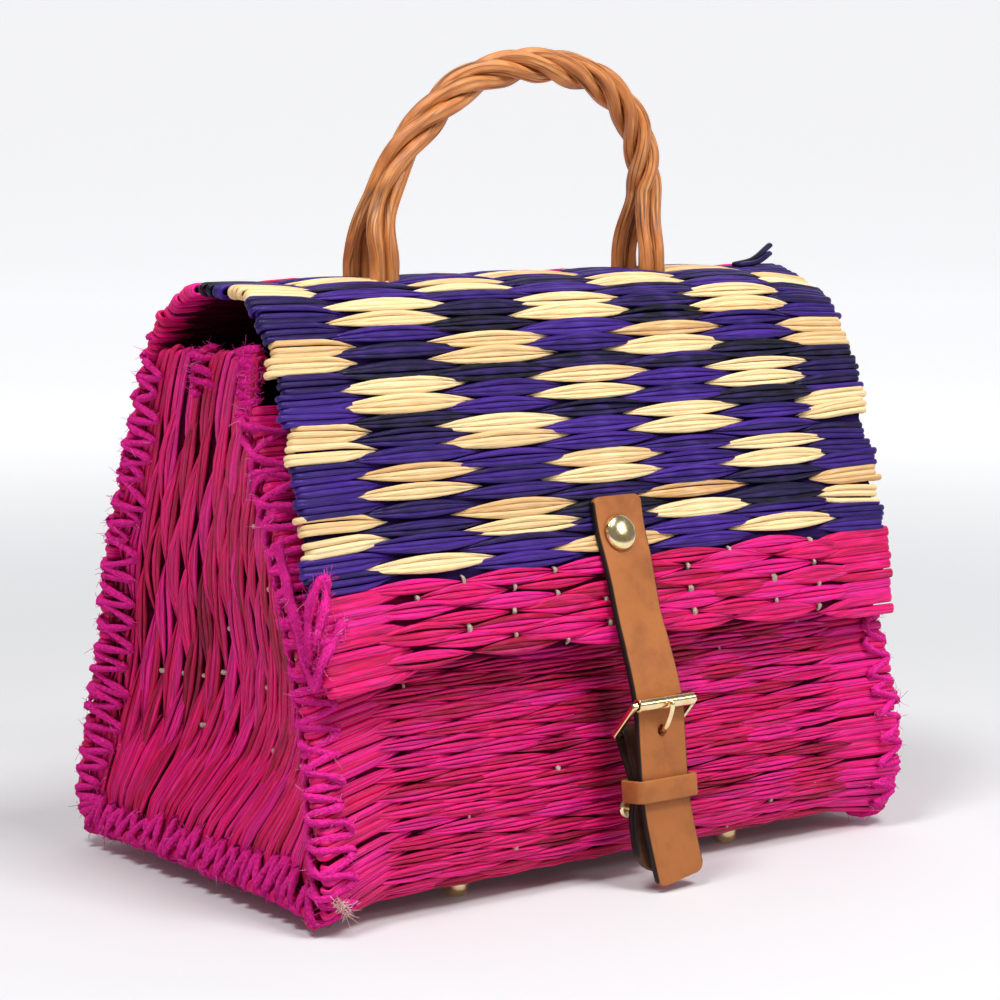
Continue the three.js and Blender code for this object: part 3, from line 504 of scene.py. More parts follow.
FLAP_PITCH = 3.47 * MM
HEM_PITCH = 4.7 * MM
CHEQUER_WIDTH = 7.5 * MM
CHEQUER = ("cream", "violet", "cream", "violet", "violet")
CHEQUER_START = 2
NIGHT_ROWS = 0.33
NIGHT = 0.35
flap_run = run_at("hem top")
hem_run = run_at("hem bottom")
violet_dyes = [
    (0.0, (0.004, 0.004, 0.012)),
    (0.3, (0.011, 0.005, 0.05)),
    (0.6, (0.032, 0.008, 0.16)),
    (1.0, (0.07, 0.018, 0.29)),
]
violet_rush = rush_material("violet_rush", violet_dyes, (0.12, 0.06, 0.38), 0.4, (0.28, 0.5))
natural_tones = [
    (0.0, (0.58, 0.31, 0.12)),
    (0.3, (0.78, 0.50, 0.23)),
    (0.65, (0.88, 0.63, 0.32)),
    (1.0, (0.92, 0.72, 0.41)),
]
cream_rush = rush_material("cream_rush", natural_tones, (0.93, 0.76, 0.48), 0.45, (0.42, 0.65), 0.72)
flap_rows = np.arange(run_at("roof back"), flap_run - 0.8 * FLAP_PITCH, FLAP_PITCH)
pair_middles = (warp_places[0::2] + warp_places[1::2]) / 2
flap_batches = {"cream": [], "violet": []}
for number, row in enumerate(flap_rows):
    if row < colour_change_run:
        continue
    batches = flap_batches[CHEQUER[(number - CHEQUER_START) % len(CHEQUER)]]
    outer_columns = (number - CHEQUER_START) % 2 == 0
    middles = pair_middles[1::2] if outer_columns else pair_middles[0::2]
    count = len(middles)
    reach = 1.41 * WARP_PITCH + chance.normal(0, 1.8 * MM, count)
    shifted = middles + chance.normal(0, 1.2 * MM, count)
    rows = np.full(count, row) + chance.normal(0, 0.3 * MM, count)
    widths = CHEQUER_WIDTH * chance.normal(1, 0.08, count)
    rings = float_rings(
        mat_sheet, rows, shifted - reach, shifted + reach, widths, 3, 15, 8, taper=1.8, dive=2.5 * MM
    )
    tone = 0.64 - (NIGHT if chance.random() < NIGHT_ROWS else 0)
    batches.append((rings, bundle_tones(tone, 0.14, count, 3, 0.12, 0)))
    for way in (-1, 1) if outer_columns else ():
        edge = way * (half_length + chance.normal(0, 1.1 * MM))
        rings = looped_rings(
            mat_sheet, np.array([row]), way * (half_length - 1.75 * WARP_PITCH), edge,
            np.array([CHEQUER_WIDTH]), 3, 8, slant=chance.normal(0.5, 0.8) * MM,
        )
        batches.append((rings, bundle_tones(tone, 0.12, 1, 3, 0.12, 0)))
for colour, material in (("cream", cream_rush), ("violet", violet_rush)):
    weave = tube_mesh(f"flap_{colour}_weave", flap_batches[colour])
    dress(weave, material, "patterned_rush", "flap_mat")
# The violet core is painted shade for the gaps under the chequer's bundles.
violet_shade_core = shade_core_material("violet_shade_core", (0.004, 0.003, 0.012), (0.03, 0.012, 0.10))
flap_core = core_sheet(
    "flap_core", mat_sheet, core_rows(colour_change_run, flap_run), core_places, -2 * MM, 2.4 * MM, FLAP_PITCH
)
dress(flap_core, violet_shade_core, "patterned_rush", "flap_mat")

hem_rows = np.arange(flap_run + 0.1 * HEM_PITCH, hem_run - 0.7 * HEM_PITCH, HEM_PITCH)
hem_floats = plain_weave(hem_rows, 7.6 * MM, 3, 13, 8, 0.68)
hem_edge_rows = np.arange(flap_run + 1.5 * MM, hem_run - 3 * MM, 7.6 * MM)
hem_edges = selvedges(hem_edge_rows, 7.8 * MM, 9, 0.68, 0.14, 2.5 * MM)
dress(tube_mesh("hem_weave", [hem_floats, *hem_edges]), pink_rush, "pink_rush", "flap_hem")
# The hem's core is the same painted shade under its bundles.
hem_core = core_sheet(
    "hem_core", mat_sheet, core_rows(flap_run, hem_run - 4 * MM), core_places, CORE_LIFT, CORE_THICKNESS,
    HEM_PITCH,
)
dress(hem_core, pink_shade_core, "pink_rush", "flap_hem")

# Sisal twine. The warps of every mat are thin natural twine, beige and hairy. They show only as dots
# between the tips of the bundles, most of all on the hem.

TWINE = 1.05 * MM


def twine_material():
    material, tree = new_material("sisal_twine")
    _, streaks, _ = stalk_inputs(tree, 900, 1200)
    beige = colour_ramp(tree, streaks, [(0.3, (0.22, 0.15, 0.11)), (0.7, (0.62, 0.52, 0.42))])
    set_finish(tree, beige, 0.9, streaks, 0.9, 0.3 * MM)
    return material


def twine_dots(sheet, rows, places, facing=1):
    """Short humps of twine across the rows, each diving back into the mat."""
    t = np.linspace(-1, 1, 6)
    run = rows[:, None] + t * chance.normal(1.7, 0.3, len(rows))[:, None] * MM
    lift = 0.25 * MM - 1.8 * MM * t**2 + 0 * run
    route = sheet(run, places[:, None] + 0 * run, lift)
    across = sheet(run, places[:, None] + MM + 0 * run, lift) - route
    thick = TWINE * chance.normal(1, 0.15, len(rows))[:, None] * (1 - 0.3 * np.abs(t))
    return tube_rings(route, unit(across), thick, 0.8 * thick, 6, facing), np.full(len(rows), 0.5)


def crossings(rows, warps, share):
    """A random share of the places where a warp passes over its row."""
    number, step = (a.ravel() for a in np.meshgrid(range(len(rows)), range(len(warps)), indexing="ij"))
    kept = ((number + step) % 2 == 1) & (chance.random(len(number)) < share)
    return rows[number[kept]], warps[step[kept]] + chance.normal(0, 0.8 * MM, kept.sum())


sisal = twine_material()
mat_twine = tube_mesh("mat_twine", [
    twine_dots(mat_sheet, *crossings(rows, warp_places, share))
    for rows, share in ((hem_rows, 0.75), (body_rows, 0.08))
])
dress(mat_twine, sisal, "pink_rush")

# Stray ends. A few stalks of the chequer have slipped out of its right selvedge, near the top.

STRAY_RADIUS = 1.7 * MM
stray_batch = []
for along, out, up, tone in ((9, 12, 6, 0.1), (12, 9, 3.5, 0.35)):
    start = mat_sheet(colour_change_run + along * MM, half_length - 27 * MM, 0.6 * MM)
    middle = mat_sheet(colour_change_run + (along - 1) * MM, half_length - 15 * MM, (1 + 0.3 * up) * MM)
    end_point = middle + np.array([out, 2, up]) * MM
    route = curve_through([start, middle, end_point], 8)[None]
    thick = np.full(route.shape[:2], STRAY_RADIUS)
    across = np.array([0, 1.0, 0]) + 0 * route
    stray_batch.append((tube_rings(route, across, thick, 0.7 * thick, 8), [tone]))
dress(tube_mesh("stray_ends", stray_batch), violet_rush, "patterned_rush")

# End panels. A smaller mat of the same magenta rush closes each end, its bundles standing upright and
# leaning with the back seam. Nothing holds its middle, so it has been pushed in towards the inside.

PANEL_PITCH = 5 * MM
PANEL_INSET = 2 * MM
PANEL_HEIGHT = 214 * MM
PANEL_SEAM_GAP = 0.6 * MM
DENT = {-1: 26 * MM, 1: 20 * MM}
FAN = 0.27
# The dent's depth up the panel, both as shares
PANEL_DENT_ROWS = [
    (0, 0), (0.05, 0.22), (0.12, 0.62), (0.19, 0.92), (0.27, 1), (0.37, 0.86), (0.5, 0.56), (0.66, 0.3),
    (0.84, 0.12), (1, 0.04),
]
panel_bottom = FOOT_HEIGHT + MAT_WALL + PANEL_SEAM_GAP
panel_top = FOOT_HEIGHT + PANEL_HEIGHT


def wall_line(first, last, x):
    """Height and y of the inside of a wall, from its lowest point up."""
    inside = mat_sheet(np.linspace(run_at(first), run_at(last), 400), x, -MAT_WALL)
    order = np.argsort(inside[:, 2])
    return inside[order, 2], inside[order, 1]


front_wall = {end: wall_line("front top", "base", end * (half_length - PANEL_INSET)) for end in (-1, 1)}
back_wall = {end: wall_line("back corner", "roof back", end * (half_length - PANEL_INSET)) for end in (-1, 1)}


def panel_seams(end, z, gap=PANEL_SEAM_GAP):
    """y of an end panel's front and back seams at a height, and that height as a share."""
    low = np.interp(z, *front_wall[end]) + gap
    high = np.interp(z, *back_wall[end]) - gap
    return low, high, (z - panel_bottom) / (panel_top - panel_bottom)


def panel_face(end, y, z, lift):
    """A point over an end panel's dented face."""
    low, high, level = panel_seams(end, z)
    across = np.clip((y - low) / (high - low), 0, 1)
    push = DENT[end] * np.interp(level, *zip(*PANEL_DENT_ROWS)) * np.sin(math.pi * across) ** 0.8
    return np.stack([end * (half_length - PANEL_INSET - push + lift), y, z], -1)


def panel_sheet(end):
    """A point over an end panel: distance forward from its back seam, height, lift outwards."""

    def sheet(forward, z, lift):
        forward, z, lift = np.broadcast_arrays(forward, z, lift)
        low, high, level = panel_seams(end, z)
        y = high - forward * (1 + FAN * level)
        return panel_face(end, np.where(y < low, low + 0.25 * (y - low), y), z, lift)

    return sheet


def panel_grid(end):
    """A point over an end panel: share of the way from its back seam to its front one, height, lift."""

    def sheet(share, z, lift):
        low, high, _ = panel_seams(end, z)
        return panel_face(end, high + share * (low - high), z, lift)

    return sheet


def panel_reaches(end, forward, z):
    """Whether this place lies on the panel rather than beyond its front seam or its top."""
    low, high, level = panel_seams(end, z, 0)
    return high - forward * (1 + FAN * level) > low - MM


panel_warps = panel_bottom + 44 * MM + WARP_PITCH * np.arange(6)
panel_rows = np.arange(2 * MM, MAT_DEPTH, PANEL_PITCH)
between_rows = panel_rows[::2] + 0.5 * PANEL_PITCH
for end, side in ((-1, "left"), (1, "right")):
    sheet = panel_sheet(end)
    facing = -end
    floats = [
        (row, warp)
        for number, row in enumerate(panel_rows)
        for step, warp in enumerate(panel_warps)
        if (number + step) % 2 == 0 and panel_reaches(end, row, warp)
    ]
    row, warp = np.array(floats).T
    reach = 1.08 * WARP_PITCH + chance.normal(0, 1.5 * MM, len(row))
    widths = 8.2 * MM * chance.normal(1, 0.14, len(row))
    jittered = row + chance.normal(0, 0.4 * MM, len(row))
    rings = float_rings(sheet, jittered, warp - reach, warp + reach, widths, 3, 11, 6, facing, taper=1.5)
    batches = [(rings, bundle_tones(0.6, 0.27, len(row), 3, 0.2))]

    low_rows = between_rows[panel_reaches(end, between_rows, panel_bottom + 20 * MM)]
    count = len(low_rows)
    widths = 9.4 * MM * chance.normal(1, 0.1, count)
    start, top = np.full(count, panel_bottom - MM), np.full(count, panel_warps[0] + MM)
    rings = float_rings(sheet, low_rows, start, top, widths, 3, 9, 6, facing, taper=5)
    batches.append((rings, bundle_tones(0.66, 0.2, count, 3, 0.14)))

    top_rows = between_rows[panel_reaches(end, between_rows, panel_warps[-1] + 20 * MM)]
    count = len(top_rows)
    widths = 9.2 * MM * chance.normal(1, 0.1, count)
    rings = looped_rings(
        sheet, top_rows, panel_warps[-1] - MM, panel_top - 5 * MM, widths, 3, 6, facing, tail=8 * MM
    )
    batches.append((rings, bundle_tones(0.6, 0.2, count, 3, 0.12)))
    dress(tube_mesh(f"end_weave_{side}", batches), pink_rush, "pink_rush", f"end_panel_{side}")
    # Each end panel's core is painted shade under its bundles.
    core = core_sheet(
        f"end_core_{side}", panel_grid(end), np.linspace(0, 1, 60),
        np.linspace(panel_bottom, panel_top - 7 * MM, 40), -2.4 * MM, 2 * MM, PANEL_PITCH / MAT_DEPTH, facing,
    )
    dress(core, pink_shade_core, "pink_rush", f"end_panel_{side}")
    dot_rows, dot_heights = crossings(panel_rows, panel_warps, 0.28)
    inside = panel_reaches(end, dot_rows, dot_heights)
    dots = tube_mesh(f"end_twine_{side}", [twine_dots(sheet, dot_rows[inside], dot_heights[inside], facing)])
    dress(dots, sisal, "pink_rush")

# Seam yarn. Thick hairy magenta wool sews each end panel to the selvedges of the long mat. It is
# overcast in crossing zigzags, from the panel's face round the selvedge to the mat's outer face.

YARN_RADIUS = 1.6 * MM
STITCH_LENGTH = 19 * MM
REACH_ON_PANEL = 9 * MM
REACH_ON_MAT = 11 * MM
FIBRES_PER_SEAM = 3600


def yarn_material():
    material, tree = new_material("seam_wool")
    tone, streaks, _ = stalk_inputs(tree, 700, 1400)
    # The ramp's pale top stop is a painted highlight, reached by the hairs' higher tones and by the tuft.
    wool = colour_ramp(tree, tone, [
        (0.0, (0.36, 0.002, 0.09)),
        (0.5, (0.76, 0.012, 0.26)),
        (0.85, (0.95, 0.05, 0.42)),
        (1, (0.92, 0.70, 0.62)),
    ])
    shaded = multiplied(tree, wool, rescaled(tree, streaks, (0.3, 0.6), (0.55, 1.15)))
    set_finish(tree, shaded, 0.95, streaks, 1, 0.8 * MM, 0.08)
    return material


def seam_route(end, first, last, shift):
    """A zigzag of yarn over the seam between two distances round the mat."""
    stitches = int((last - first) / STITCH_LENGTH)
    starts = first + (np.arange(stitches) + shift) * STITCH_LENGTH
    parts = [(0, "panel"), (0.27, "edge"), (0.46, "mat"), (0.56, "mat"), (0.75, "edge")]
    points = []
    for start in starts:
        for share, place in parts:
            run = start + share * STITCH_LENGTH + chance.normal(0, 1.5 * MM)
            stray = chance.normal(0, 0.5 * MM)
            if place == "panel":
                _, y, z = mat_sheet(run, end * half_length, -MAT_WALL - REACH_ON_PANEL + 3 * stray)
                points.append(panel_face(end, y, z, 1.5 * MM + stray))
            elif place == "edge":
                points.append(mat_sheet(run, end * (half_length + 1.8 * MM + stray), -0.5 * MAT_WALL))
            else:
                x = end * (half_length - REACH_ON_MAT + 3 * stray)
                points.append(mat_sheet(run, x, 1.5 * MM + stray))
    return curve_through(points, 5)


def yarn_rings(route, radius):
    """One tube of yarn that swells and thins along its length."""
    route = route[None]
    around = np.cross(unit(np.gradient(route, axis=1)), unit(np.array([0.31, 0.52, 0.79])))
    swell = radius * (1 + 0.16 * np.sin(distance_along(route[0])[None] / (2.1 * MM)))
    swell = swell * chance.normal(1, 0.08, swell.shape)
    return tube_rings(route, unit(around), swell, swell, 6)


def fibre_rings(route, count, longest):
    """Fine hairs that leave the yarn and curl."""
    at = chance.integers(0, len(route) - 1, count)
    along = unit(np.gradient(route, axis=0))[at]
    stray = unit(chance.normal(0, 1, (count, 3)))
    start = route[at] + stray * YARN_RADIUS * 0.9
    way = unit(along * chance.choice([-1, 1], (count, 1)) + chance.normal(0, 0.4, (count, 3)) + 0.45 * stray)
    length = (0.3 + 0.7 * chance.random((count, 1)) ** 2) * longest
    curl = unit(chance.normal(0, 1, (count, 3))) * length * 0.7
    t = np.linspace(0, 1, 5)[None, :, None]
    path = start[:, None] + way[:, None] * length[:, None] * t + curl[:, None] * t**2
    path[..., 2] = np.maximum(path[..., 2], 0.4 * MM)
    across = unit(np.cross(way, unit(chance.normal(0, 1, (count, 3)))))[:, None] + 0 * path
    thin = 0.17 * MM * (1 - 0.5 * t[..., 0]) + np.zeros((count, 1))
    return tube_rings(path, across, thin, thin, 3)


def haired_yarn(route, radius, tone, fibres, longest, hair_tone, spread):
    """Yarn along a route, and its hairs."""
    yarn = yarn_rings(route, radius)
    hairs = fibre_rings(route, fibres, longest)
    # The hairs get paler tones than their yarn: a painted highlight for the lit fuzz.
    return [(yarn, [tone]), (hairs, np.clip(chance.normal(hair_tone, spread, len(hairs)), 0, 0.9))]


seam_wool = yarn_material()
front_seam = run_at("front top") + 2 * MM
back_seam = run_at("back shoulder") + 6 * MM
# A loose loop of yarn by the hem. In mm: distance round the mat from the front seam's or the flap's
# start, distance inwards from the left end, height over the face
YARN_LOOP = [
    (front_seam, 52, -1, -1), (flap_run, 24, -3, -7), (flap_run, 9, -2.5, -3), (flap_run, -3, 1, 2),
    (flap_run, -6, 5, 2.6), (flap_run, 0, 4, 2.8), (flap_run, 9, 0, 2.4), (flap_run, 17, -2.2, 0),
    (flap_run, 17, 3, 2.5), (flap_run, 11, 9, 2.2), (flap_run, 16, 4, 3.2), (flap_run, 26, -2.5, 0),
    (flap_run, 33, -2, -7), (front_seam, 68, -1, -1),
]
for end, side in ((-1, "left"), (1, "right")):
    batches = []
    for shift in (0, 0.5):
        route = seam_route(end, front_seam, back_seam, shift)
        batches += haired_yarn(route, YARN_RADIUS, 0.6, FIBRES_PER_SEAM // 2, 5 * MM, 0.75, 0.12)
    if end < 0:
        loop = curve_through([
            mat_sheet(start + further * MM, -half_length + inwards * MM, up * MM)
            for start, further, inwards, up in YARN_LOOP
        ], 8)
        batches += haired_yarn(loop, 1.2 * YARN_RADIUS, 0.6, 700, 6 * MM, 0.7, 0.14)
        # Over the panel's front edge, above the front wall
        heights = np.linspace(panel_top - MM, front_wall[end][0][-1] - 8 * MM, 17)
        inwards = np.where(np.arange(17) % 2, 7, -3) * MM + chance.normal(0, MM, 17)
        edge_y = np.interp(heights, *front_wall[end]) + inwards
        whip = panel_face(end, edge_y, heights, np.where(inwards > 0, 1.8, -1) * MM)
        # Round the bundles at the panel's top back corner
        turns = np.linspace(0, 7 * math.pi, 30)
        lashed = np.stack([
            -half_length + PANEL_INSET + 3.5 * MM + 5 * MM * np.cos(turns),
            back_wall[end][1][-1] - 9 * MM + 6 * MM * np.sin(turns),
            panel_top - 4 * MM - turns * 0.8 * MM + chance.normal(0, 0.4 * MM, 30),
        ], -1)
        for bound in (whip, lashed):
            batches += haired_yarn(curve_through(bound, 6), YARN_RADIUS, 0.55, 500, 5 * MM, 0.7, 0.14)
        # The tuft at the front corner
        corner = run_at("front corner")
        tuft_x = -half_length + np.linspace(3, 11, 8) * MM
        tuft = mat_sheet(corner + np.linspace(-9, -4, 8) * MM, tuft_x, 1.8 * MM)
        # The tuft takes the palest tone: painted highlight.
        batches.append((fibre_rings(tuft, 110, 5 * MM), np.full(110, 1.0)))
    yarn = tube_mesh(f"seam_yarn_{side}", batches)
    dress(yarn, seam_wool, "pink_rush")

# Handle. Four peeled willow rods are twisted to the right round one another and bent to an arch. At
# each foot they part into a front and a back leg of two rods, which pass down through the roof.

HANDLE_SPAN = 146 * MM
HANDLE_RISE = 93 * MM
HANDLE_SETBACK = 17.5 * MM
ROD_RADIUS = 3.05 * MM
TWIST_RADIUS = 4.5 * MM
TWIST_TURNS = 2.5
TWIST_GATHER = 1.25
LEG_SPREAD = 19 * MM
LEG_LENGTH = 34 * MM
ROD_GAP = 0.3 * MM
TURNED_END = 14 * MM
HANDLE_ROWS = [
    (-0.5, 0), (-0.493, 0.17), (-0.462, 0.35), (-0.402, 0.53), (-0.3, 0.7), (-0.16, 0.855), (0.013, 0.925),
    (0.175, 0.92), (0.325, 0.85), (0.43, 0.7), (0.477, 0.52), (0.485, 0.34), (0.47, 0.16), (0.464, 0),
]
roof_level = FOOT_HEIGHT + MAT_HEIGHT
handle_y = mat_middle_y - HANDLE_SETBACK
handle_dense = curve_through(
    [(x * HANDLE_SPAN, handle_y, roof_level + z * HANDLE_RISE) for x, z in HANDLE_ROWS], 60
)
handle_run = distance_along(handle_dense)
handle_places = np.linspace(0, handle_run[-1], 180)
handle_line = np.stack([np.interp(handle_places, handle_run, handle_dense[:, i]) for i in range(3)], -1)
handle_way = unit(np.gradient(handle_line, axis=0))


def rod_foot(turn, right):
    sideways = (1 if right else -1) * math.copysign(1, math.cos(turn))
    forwards = -math.copysign(1, math.sin(turn))
    x = handle_line[-1 if right else 0, 0] + sideways * (ROD_RADIUS + ROD_GAP)
    return x, handle_y + forwards * LEG_SPREAD / 2, sideways


def rod_end(foot):
    """The end under the roof, turned sideways, up to the roof's outer face."""
    x, y, sideways = foot
    under = roof_level - MAT_WALL - 0.015 * MAT_HEIGHT - ROD_RADIUS
    steps = [(TURNED_END, 0), (TURNED_END / 2, 0), (4.5 * MM, 0), (1.2 * MM, MM), (0.2 * MM, 4 * MM)]
    return [(x + sideways * out, y, under + rise) for out, rise in steps]


def willow_rod(number):
    first_turn = math.pi / 4 + number * math.pi / 2
    last_turn = first_turn + 2 * math.pi * TWIST_TURNS
    feet = rod_foot(first_turn, False), rod_foot(last_turn, True)
    length = handle_places[-1]
    share = np.clip((handle_places - LEG_LENGTH) / (length - 2 * LEG_LENGTH), 0, 1)
    turn = (first_turn + 2 * math.pi * TWIST_TURNS * share**TWIST_GATHER)[:, None]
    outward = np.stack([-handle_way[:, 2], 0 * handle_places, handle_way[:, 0]], -1)
    front = np.array([0, -1, 0])
    twisted = handle_line + TWIST_RADIUS * (outward * np.cos(turn) + front * np.sin(turn))
    near = np.minimum(handle_places, length - handle_places)
    left = handle_places < length / 2
    leg = twisted.copy()
    leg[:, 0] = np.where(left, feet[0][0], feet[1][0])
    leg[:, 1] = np.where(left, feet[0][1], feet[1][1])
    blend = smooth_step((near - 0.15 * LEG_LENGTH) / (0.85 * LEG_LENGTH))[:, None]
    middle = leg + (twisted - leg) * blend
    route = np.vstack([rod_end(feet[0]), middle[1:-1], rod_end(feet[1])[::-1]])
    places = distance_along(route)
    wander = chance.uniform(0, 6, 4)
    swell = 1 + 0.05 * np.sin(places / (11 * MM) + wander[0]) + 0.04 * np.sin(places / (4.3 * MM) + wander[1])
    flare = 1 + 0.16 * (1 - smooth_step(np.minimum(places, places[-1] - places) / (45 * MM)))
    radius = (ROD_RADIUS * swell * flare)[None]
    across = np.cross(unit(np.gradient(route, axis=0)), np.array([0.0, 1.0, 0.0]))[None] + 1e-6
    rings = tube_rings(route[None], unit(across), radius, radius * 0.97, 18)
    angles = np.arange(18) * 2 * math.pi / 18
    spin = places[:, None] / (30 * MM)
    groove = 0.07 * np.sin(5 * angles + 3 * spin + wander[2])
    groove += 0.035 * np.sin(8 * angles - 2 * spin + wander[3])
    middle = rings.mean(2, keepdims=True)
    return middle + (rings - middle) * (1 + groove)[None, :, :, None]


def willow_material():
    material, tree = new_material("peeled_willow")
    tone, streaks, patches = stalk_inputs(tree, 28, 900)
    rod = colour_ramp(tree, tone, [(0, (0.42, 0.125, 0.028)), (1, (0.62, 0.24, 0.066))])
    bark = colour_ramp(tree, patches, [
        (0.3, (0.26, 0.068, 0.014)), (0.5, (0.55, 0.19, 0.045)), (0.72, (0.78, 0.38, 0.14)),
    ])
    mixed = add_output(tree, "ShaderNodeMixRGB", {"Fac": 0.6, "Color1": rod, "Color2": bark})
    shaded = multiplied(tree, mixed, rescaled(tree, streaks, (0.34, 0.47), (0.22, 1.08)))
    set_finish(tree, shaded, rescaled(tree, patches, (0, 1), (0.35, 0.6)), streaks, 0.8, 0.5 * MM)
    return material


willow = willow_material()
for number in range(4):
    rod = tube_mesh(f"willow_rod_{number + 1}", [(willow_rod(number), [chance.uniform(0, 1)])])
    dress(rod, willow, "wicker", f"handle_strand_{number + 1}")

# Strap, tab and keeper. Tan leather with dark dyed edges: the strap is held to the flap by a snap and
# hangs through the buckle, the tab folds round the buckle's heel bar and is riveted to the front wall,
# and the keeper is a loop round both.

STRAP_WIDTH = 25 * MM
STRAP_THICKNESS = 3 * MM
STRAP_ABOVE_SNAP = 15 * MM
STRAP_CORNER = 4 * MM
STRAP_HOLE_RADIUS = 2.4 * MM
STRAP_HOLE_SPACING = 21.5 * MM
SNAP_ABOVE_HEM = 45 * MM
TAIL_LEVEL = -4 * MM
TAIL_LEAN = 8.5 * MM
TAIL_DRIFT = 5.5 * MM
TAB_PLY = 2.2 * MM
TAB_SLOT = 5 * MM
TAB_BOTTOM = -MM
TAB_CORNER = 11 * MM
KEEPER_LEVEL = 33 * MM
KEEPER_HEIGHT = 9 * MM
KEEPER_THICKNESS = 2 * MM
KEEPER_EASE = 1.1 * MM
RIVET_LEVEL = 21 * MM
ROLLER_LEVEL = 68.5 * MM
ROLLER_RADIUS = 2.7 * MM
ROLLER_BORE = 1.95 * MM
ROLLER_LENGTH = STRAP_WIDTH + 4 * MM
BUCKLE_STAND_OFF = 13 * MM
FRAME_BAR = 2.2 * MM
FRAME_REACH = 19 * MM
FRAME_TILT = math.radians(42)
PRONG_RADIUS = 1.2 * MM
CLEARANCE = 0.3 * MM
STRAP_ROWS = [
    (1, 0.035, -2), (0.87, 0.02, -1), (0.75, 0.014, 0), (0.6, 0.03, 1), (0.42, 0.06, 4), (0.2, 0.11, 5),
    (0, 0.22, 3),
]
hem_edge = mat_line[-1]
strap_top = hem_edge[1] + SNAP_ABOVE_HEM + STRAP_ABOVE_SNAP
strap_behind_roller = hem_edge[0] - BUCKLE_STAND_OFF - STRAP_THICKNESS / 2
roller = np.array([
    0, strap_behind_roller - STRAP_THICKNESS / 2 - CLEARANCE - ROLLER_RADIUS, FOOT_HEIGHT + ROLLER_LEVEL,
])
heel = roller + FRAME_REACH * np.array([0, math.sin(FRAME_TILT), -math.cos(FRAME_TILT)])
heel_bore = FRAME_BAR / math.sqrt(2) + CLEARANCE


def run_at_height(height, first, last):
    """Distance round the mat where its outer face passes a height, between two named rows."""
    runs = np.linspace(run_at(first), run_at(last), 600)
    heights = np.interp(runs, mat_run, mat_line[:, 1])
    order = np.argsort(heights)
    return float(np.interp(height, heights[order], runs[order]))


def strap_tail(level):
    drop = (ROLLER_LEVEL - level) / (ROLLER_LEVEL - TAIL_LEVEL)
    below = max((KEEPER_LEVEL - level) / (KEEPER_LEVEL - TAIL_LEVEL), 0)
    return np.array([TAIL_DRIFT * below**1.5, strap_behind_roller - TAIL_LEAN * drop, FOOT_HEIGHT + level])


def face_outwards(mesh):
    bm = bmesh.new()
    bm.from_mesh(mesh)
    bmesh.ops.recalc_face_normals(bm, faces=bm.faces[:])
    bm.to_mesh(mesh)
    bm.free()


def leather_strip(name, centres, twists, thickness, rounding, sections):
    """A strip whose edges and corners are rounded, and the lines that its dyed edges are found by."""
    dense = curve_through(centres, 24)
    run = distance_along(dense)
    shares = (0.001, 0.03, 0.1, 0.25, 0.5, 0.75)
    ends = [share * rounding for share in shares] + [run[-1] - share * rounding for share in shares]
    places = np.unique(np.concatenate([np.linspace(rounding, run[-1] - rounding, sections), ends]))
    line = np.stack([np.interp(places, run, dense[:, i]) for i in range(3)], -1)
    way = unit(np.gradient(line, places, axis=0))
    numbers = np.interp(places, run, np.linspace(0, len(centres) - 1, len(dense)))
    twist = np.radians(np.interp(numbers, range(len(twists)), twists))[:, None]
    across = np.cos(twist) * np.array([1.0, 0, 0]) + np.sin(twist) * np.array([0, 1.0, 0])
    across = unit(across - way * (across * way).sum(1, keepdims=True))
    outward = np.cross(across, way)

    def inset(radius, distance):
        inside = np.clip(radius - distance, 0, radius)
        return radius - np.sqrt(np.maximum(radius**2 - inside**2, 0))

    half = STRAP_WIDTH / 2 - inset(rounding, places) - inset(rounding, run[-1] - places)
    half = np.maximum(half, 0.3 * MM)
    deep = thickness / 2
    edge = 0.32 * thickness
    corner = [math.sin(a) for a in np.linspace(0, math.pi / 2, 5)]
    profile = [(1 - edge / (STRAP_WIDTH / 2) * (1 - s), math.sqrt(1 - s * s)) for s in corner]
    flats = [(share, 1.0) for share in np.linspace(-0.86, 0.86, 11)]
    right = [(a, (deep - edge + edge * d) / deep) for a, d in profile]
    outline = flats + right + [(a, -d) for a, d in right[::-1]] + [(a, -d) for a, d in flats[::-1]]
    outline += [(-a, -d) for a, d in right] + [(-a, d) for a, d in right[::-1]]
    outline = np.array(outline)
    sideways, height = outline[:, 0], outline[:, 1] * deep
    rings = (
        line[:, None] + across[:, None] * (half[:, None] * sideways)[..., None]
        + outward[:, None] * (height[None, :, None])
    )
    piece = tube_mesh(name, [(rings[None, :, ::-1], [0.5])])
    face_outwards(piece.data)
    return piece, (line, across, outward, places)


def mark_strip(piece, frame_lines):
    """Stores each point's place across, along and through the leather, for its dyed edges and grain."""
    line, across, outward, places = frame_lines
    points = np.empty(len(piece.data.vertices) * 3, np.float32)
    piece.data.vertices.foreach_get("co", points)
    points = points.reshape(-1, 3)
    nearest = np.linalg.norm(points[:, None] - line[None], axis=2).argmin(1)
    offset = points - line[nearest]
    local = np.stack([
        (offset * across[nearest]).sum(1), places[nearest], (offset * outward[nearest]).sum(1),
    ], -1)
    piece.data.attributes.new("strip", "FLOAT_VECTOR", "POINT").data.foreach_set("vector", local.ravel())
    piece.data.set_sharp_from_angle(angle=math.radians(50))


def cut_away(piece, cutter):
    """Cuts a shape out of a piece and deletes the cutter."""
    cut = piece.modifiers.new("cut", "BOOLEAN")
    cut.object = cutter
    cut.solver = "EXACT"
    shown = bpy.context.evaluated_depsgraph_get()
    mesh = bpy.data.meshes.new_from_object(piece.evaluated_get(shown))
    piece.modifiers.clear()
    piece.data = mesh
    bpy.data.objects.remove(cutter)


